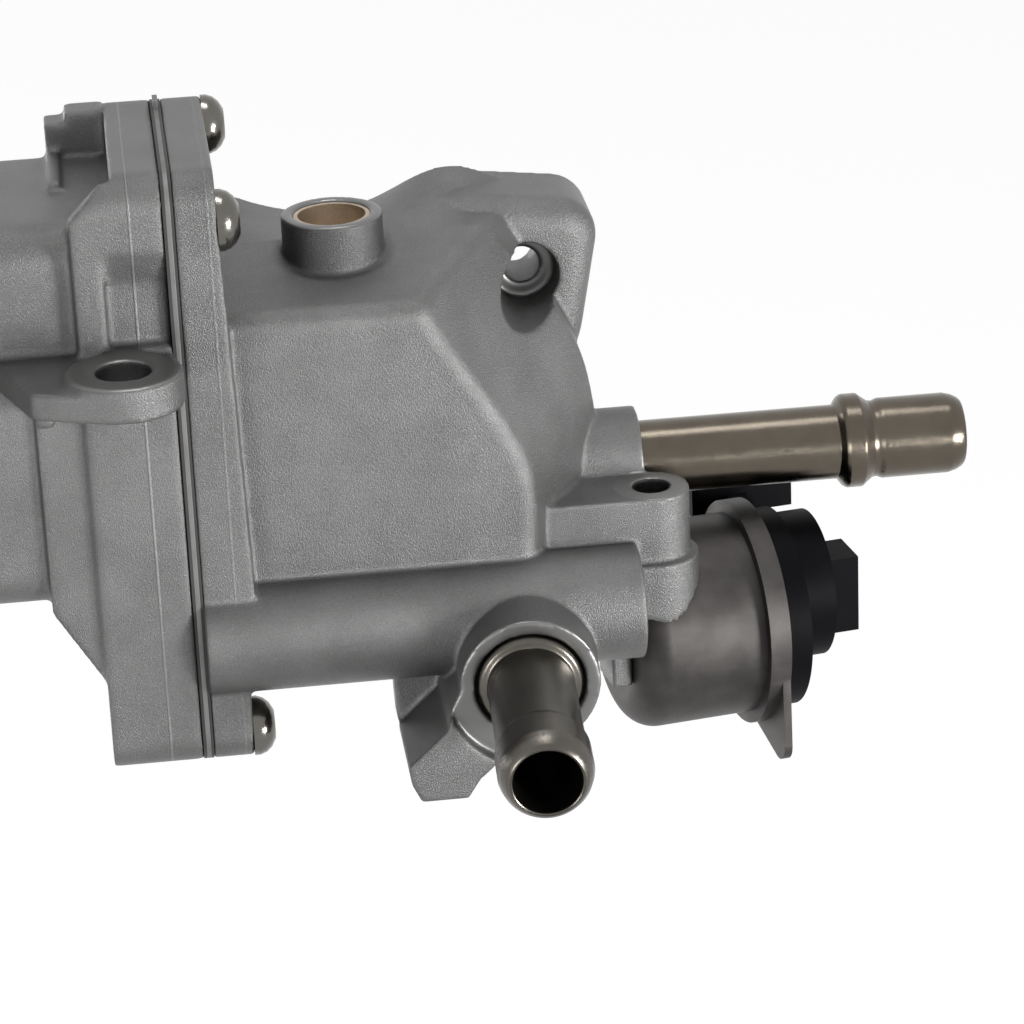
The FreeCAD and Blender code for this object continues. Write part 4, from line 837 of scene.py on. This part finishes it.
@dataclass
class Threads:
    """Thread ridges on the free ends of the two studs, in millimetres on the actuator's own axes."""

    shop: Workshop
    pitch: float = 0.8
    ridge: float = 0.28
    count: int = 3
    start: float = -44.6
    side: float = 11.0
    height: float = 4.0
    radius: float = 2.5
    ring_points: int = 40
    section_points: int = 8

    def tree(self) -> bpy.types.NodeTree:
        """Make the node tree that repeats one ridge along a line."""
        tree = bpy.data.node_groups.new("ridges", "GeometryNodeTree")
        tree.interface.new_socket("Count", in_out="INPUT", socket_type="NodeSocketInt")
        for name in ("Pitch", "Radius", "Ridge"):
            tree.interface.new_socket(name, in_out="INPUT", socket_type="NodeSocketFloat")
        tree.interface.new_socket("Material", in_out="INPUT", socket_type="NodeSocketMaterial")
        tree.interface.new_socket("Geometry", in_out="OUTPUT", socket_type="NodeSocketGeometry")
        add = tree.nodes.new
        given = add("NodeGroupInput")
        line = add("GeometryNodeMeshLine")
        step = add("ShaderNodeCombineXYZ")
        ring = add("GeometryNodeCurvePrimitiveCircle")
        ring.inputs["Resolution"].default_value = self.ring_points
        section = add("GeometryNodeCurvePrimitiveCircle")
        section.inputs["Resolution"].default_value = self.section_points
        sweep = add("GeometryNodeCurveToMesh")
        repeat = add("GeometryNodeInstanceOnPoints")
        real = add("GeometryNodeRealizeInstances")
        dress = add("GeometryNodeSetMaterial")
        result = add("NodeGroupOutput")
        for source, key, target, slot in (
                (given, "Count", line, "Count"),
                (given, "Pitch", step, "Z"),
                (step, 0, line, "Offset"),
                (given, "Radius", ring, "Radius"),
                (given, "Ridge", section, "Radius"),
                (ring, 0, sweep, 0),
                (section, 0, sweep, 1),
                (line, 0, repeat, "Points"),
                (sweep, 0, repeat, "Instance"),
                (repeat, 0, real, 0),
                (real, 0, dress, 0),
                (given, "Material", dress, "Material"),
                (dress, 0, result, 0)):
            tree.links.new(source.outputs[key], target.inputs[slot])
        return tree

    def build(self) -> None:
        """Make one piece for each stud."""
        tree = self.tree()
        radius = (self.radius - self.ridge / 2) * MM
        values = {"Count": self.count, "Pitch": self.pitch * MM, "Radius": radius, "Ridge": self.ridge * MM,
                  "Material": self.shop.materials["screw"]}
        aim = Vector(ALONG).to_track_quat("Z", "Y").to_matrix().to_4x4()
        for name, side in (("stud_thread_near", -self.side), ("stud_thread_far", self.side)):
            piece = self.shop.object_of(name, bpy.data.meshes.new(name))
            repeat = piece.modifiers.new("ridges", "NODES")
            repeat.node_group = tree
            for item in tree.interface.items_tree:
                if item.in_out == "INPUT":
                    repeat[item.identifier] = values[item.name]
            self.shop.bake(piece)
            start = Vector((self.start, side, self.height)) * MM
            piece.data.transform(ACTUATOR_PLACE @ Matrix.Translation(start) @ aim)
            piece.data.shade_smooth()
            self.shop.publish(piece, "screw", Slot.SCREW, self.shop.owner("actuator_nuts"))


@dataclass
class FlapDrive:
    """Bypass flap, its shaft and the lever, with bevels in millimetres."""

    shop: Workshop
    lever_bevel: float = 0.15
    bearing_bevel: float = 0.1

    def build(self) -> None:
        """Dress the moving flap parts and their bearings."""
        for node in ("flap_shaft", "bypass_flap", "flap_lever", "lever_pin", "pin_clip"):
            self.shop.crisp(node, "steel", Slot.STEEL, self.lever_bevel)
        for node in ("flap_screws", "lever_nut"):
            self.shop.crisp(node, "screw", Slot.SCREW, self.lever_bevel)
        self.shop.crisp("flap_bush", "bronze", Slot.BRONZE, self.bearing_bevel)
        self.shop.crisp("shaft_seal", "rubber", Slot.RUBBER, self.bearing_bevel)


@dataclass(frozen=True)
class Lamp:
    """A soft square lamp, in metres and watts."""

    name: str
    place: Triple
    size: float
    power: float


@dataclass
class Studio:
    """Camera, floor, world and lamps, in metres."""

    eye: Triple = (0.17463, -0.87958, 0.32190)
    right: Triple = (0.99182, -0.12110, -0.04027)
    up: Triple = (0.08351, 0.37727, 0.92233)
    forward: Triple = (0.09650, 0.91815, -0.38430)
    lens: float = 140.625
    sensor: float = 36.0
    nearest: float = 0.01
    farthest: float = 50.0
    sky_colour: Triple = (0.95, 0.97, 1.0)
    sky_light: float = 0.11
    floor_drop: float = 0.16
    floor_reach: float = 6.0
    floor_colour: Triple = (0.34, 0.33, 0.32)
    floor_seen: Triple = (0.9, 0.9, 0.9)
    floor_glow: float = 1.1
    glow_share: float = 0.85
    aim: Triple = (0.24, 0.0, -0.02)
    lamps: tuple[Lamp, ...] = (
        Lamp("key", (1.28, -0.92, -0.07), 0.38, 28.0),
        Lamp("fill", (-0.7, -1.1, -0.07), 0.38, 8.0),
        Lamp("top", (0.3, 0.1, 1.0), 0.3, 3.2),
        Lamp("back", (-1.1, 1.0, -0.07), 0.38, 16.0),
    )

    def camera(self) -> None:
        """Set the camera at the photograph's view."""
        data = bpy.data.cameras.new("view")
        data.lens = self.lens
        data.sensor_width = self.sensor
        data.clip_start = self.nearest
        data.clip_end = self.farthest
        camera = bpy.data.objects.new("view", data)
        bpy.context.scene.collection.objects.link(camera)
        turn = Matrix((self.right, self.up, tuple(-value for value in self.forward))).transposed()
        camera.matrix_world = Matrix.Translation(self.eye) @ turn.to_4x4()
        bpy.context.scene.camera = camera

    def world(self) -> None:
        """Light the scene evenly and show white behind it."""
        bench = Bench(bpy.data.worlds.new("studio"))
        bpy.context.scene.world = bench.owner
        sky = {"Color": paint(self.sky_colour), "Strength": self.sky_light}
        soft = bench.node("ShaderNodeBackground", {}, sky)
        white = bench.node("ShaderNodeBackground", {}, {"Color": WHITE, "Strength": 1.0})
        inputs = {0: bench.background_ray(), 1: soft, 2: white}
        bench.close(bench.node("ShaderNodeMixShader", {}, inputs))

    def floor(self, low: Vector) -> None:
        """Lay a pale floor below the part.

        Args:
            low: lowest corner of the part.
        """
        height = low.z - self.floor_drop
        reach = self.floor_reach
        outline = [(-reach, -reach, height), (reach, -reach, height), (reach, reach, height),
                   (-reach, reach, height)]
        mesh = bpy.data.meshes.new("floor")
        mesh.from_pydata(outline, [], [(0, 1, 2, 3)])
        floor = bpy.data.objects.new("floor", mesh)
        bpy.context.scene.collection.objects.link(floor)
        bench = Bench(bpy.data.materials.new("floor_white"))
        seen = bench.background_ray()
        pale = bench.blend(seen, paint(self.floor_colour), paint(self.floor_seen))
        matt = bench.node("ShaderNodeBsdfDiffuse", {}, {"Color": pale})
        glow = bench.node("ShaderNodeEmission", {}, {"Color": WHITE, "Strength": self.floor_glow})
        inputs = {0: seen * self.glow_share, 1: matt, 2: glow}
        mesh.materials.append(bench.close(bench.node("ShaderNodeMixShader", {}, inputs)))
        floor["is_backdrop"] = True

    def hang(self, lamp: Lamp) -> None:
        """Hang one lamp so that it faces the part.

        Args:
            lamp: lamp to hang.
        """
        data = bpy.data.lights.new(lamp.name, "AREA")
        data.size = lamp.size
        data.energy = lamp.power
        light = bpy.data.objects.new(lamp.name, data)
        bpy.context.scene.collection.objects.link(light)
        light.location = lamp.place
        light.rotation_euler = (Vector(self.aim) - Vector(lamp.place)).to_track_quat("-Z", "Y").to_euler()

    def build(self, low: Vector) -> None:
        """Set up the whole studio.

        Args:
            low: lowest corner of the part.
        """
        bpy.context.scene.view_settings.view_transform = "Standard"
        self.camera()
        self.world()
        self.floor(low)
        for lamp in self.lamps:
            self.hang(lamp)


def corners(box: tuple[Vector, Vector]) -> list[list[float]]:
    """Return a box as plain lists of numbers."""
    return [[round(value, 6) for value in corner] for corner in box]


def main() -> None:
    """Build the scene in order."""
    logging.basicConfig(level=logging.INFO, format="%(message)s")
    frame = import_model()
    cad_box = corners(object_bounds())
    Studio().build(Vector(cad_box[0]))
    shop = Workshop(frame, {key: finish.build(name) for key, (name, finish) in FINISHES.items()})
    for part in (Castings(shop), Joint(shop), Core(shop), Spigots(shop), Actuator(shop), Threads(shop),
                 FlapDrive(shop)):
        part.build()
        LOG.info("built %s", type(part).__name__)


if __name__ == "__main__":
    main()
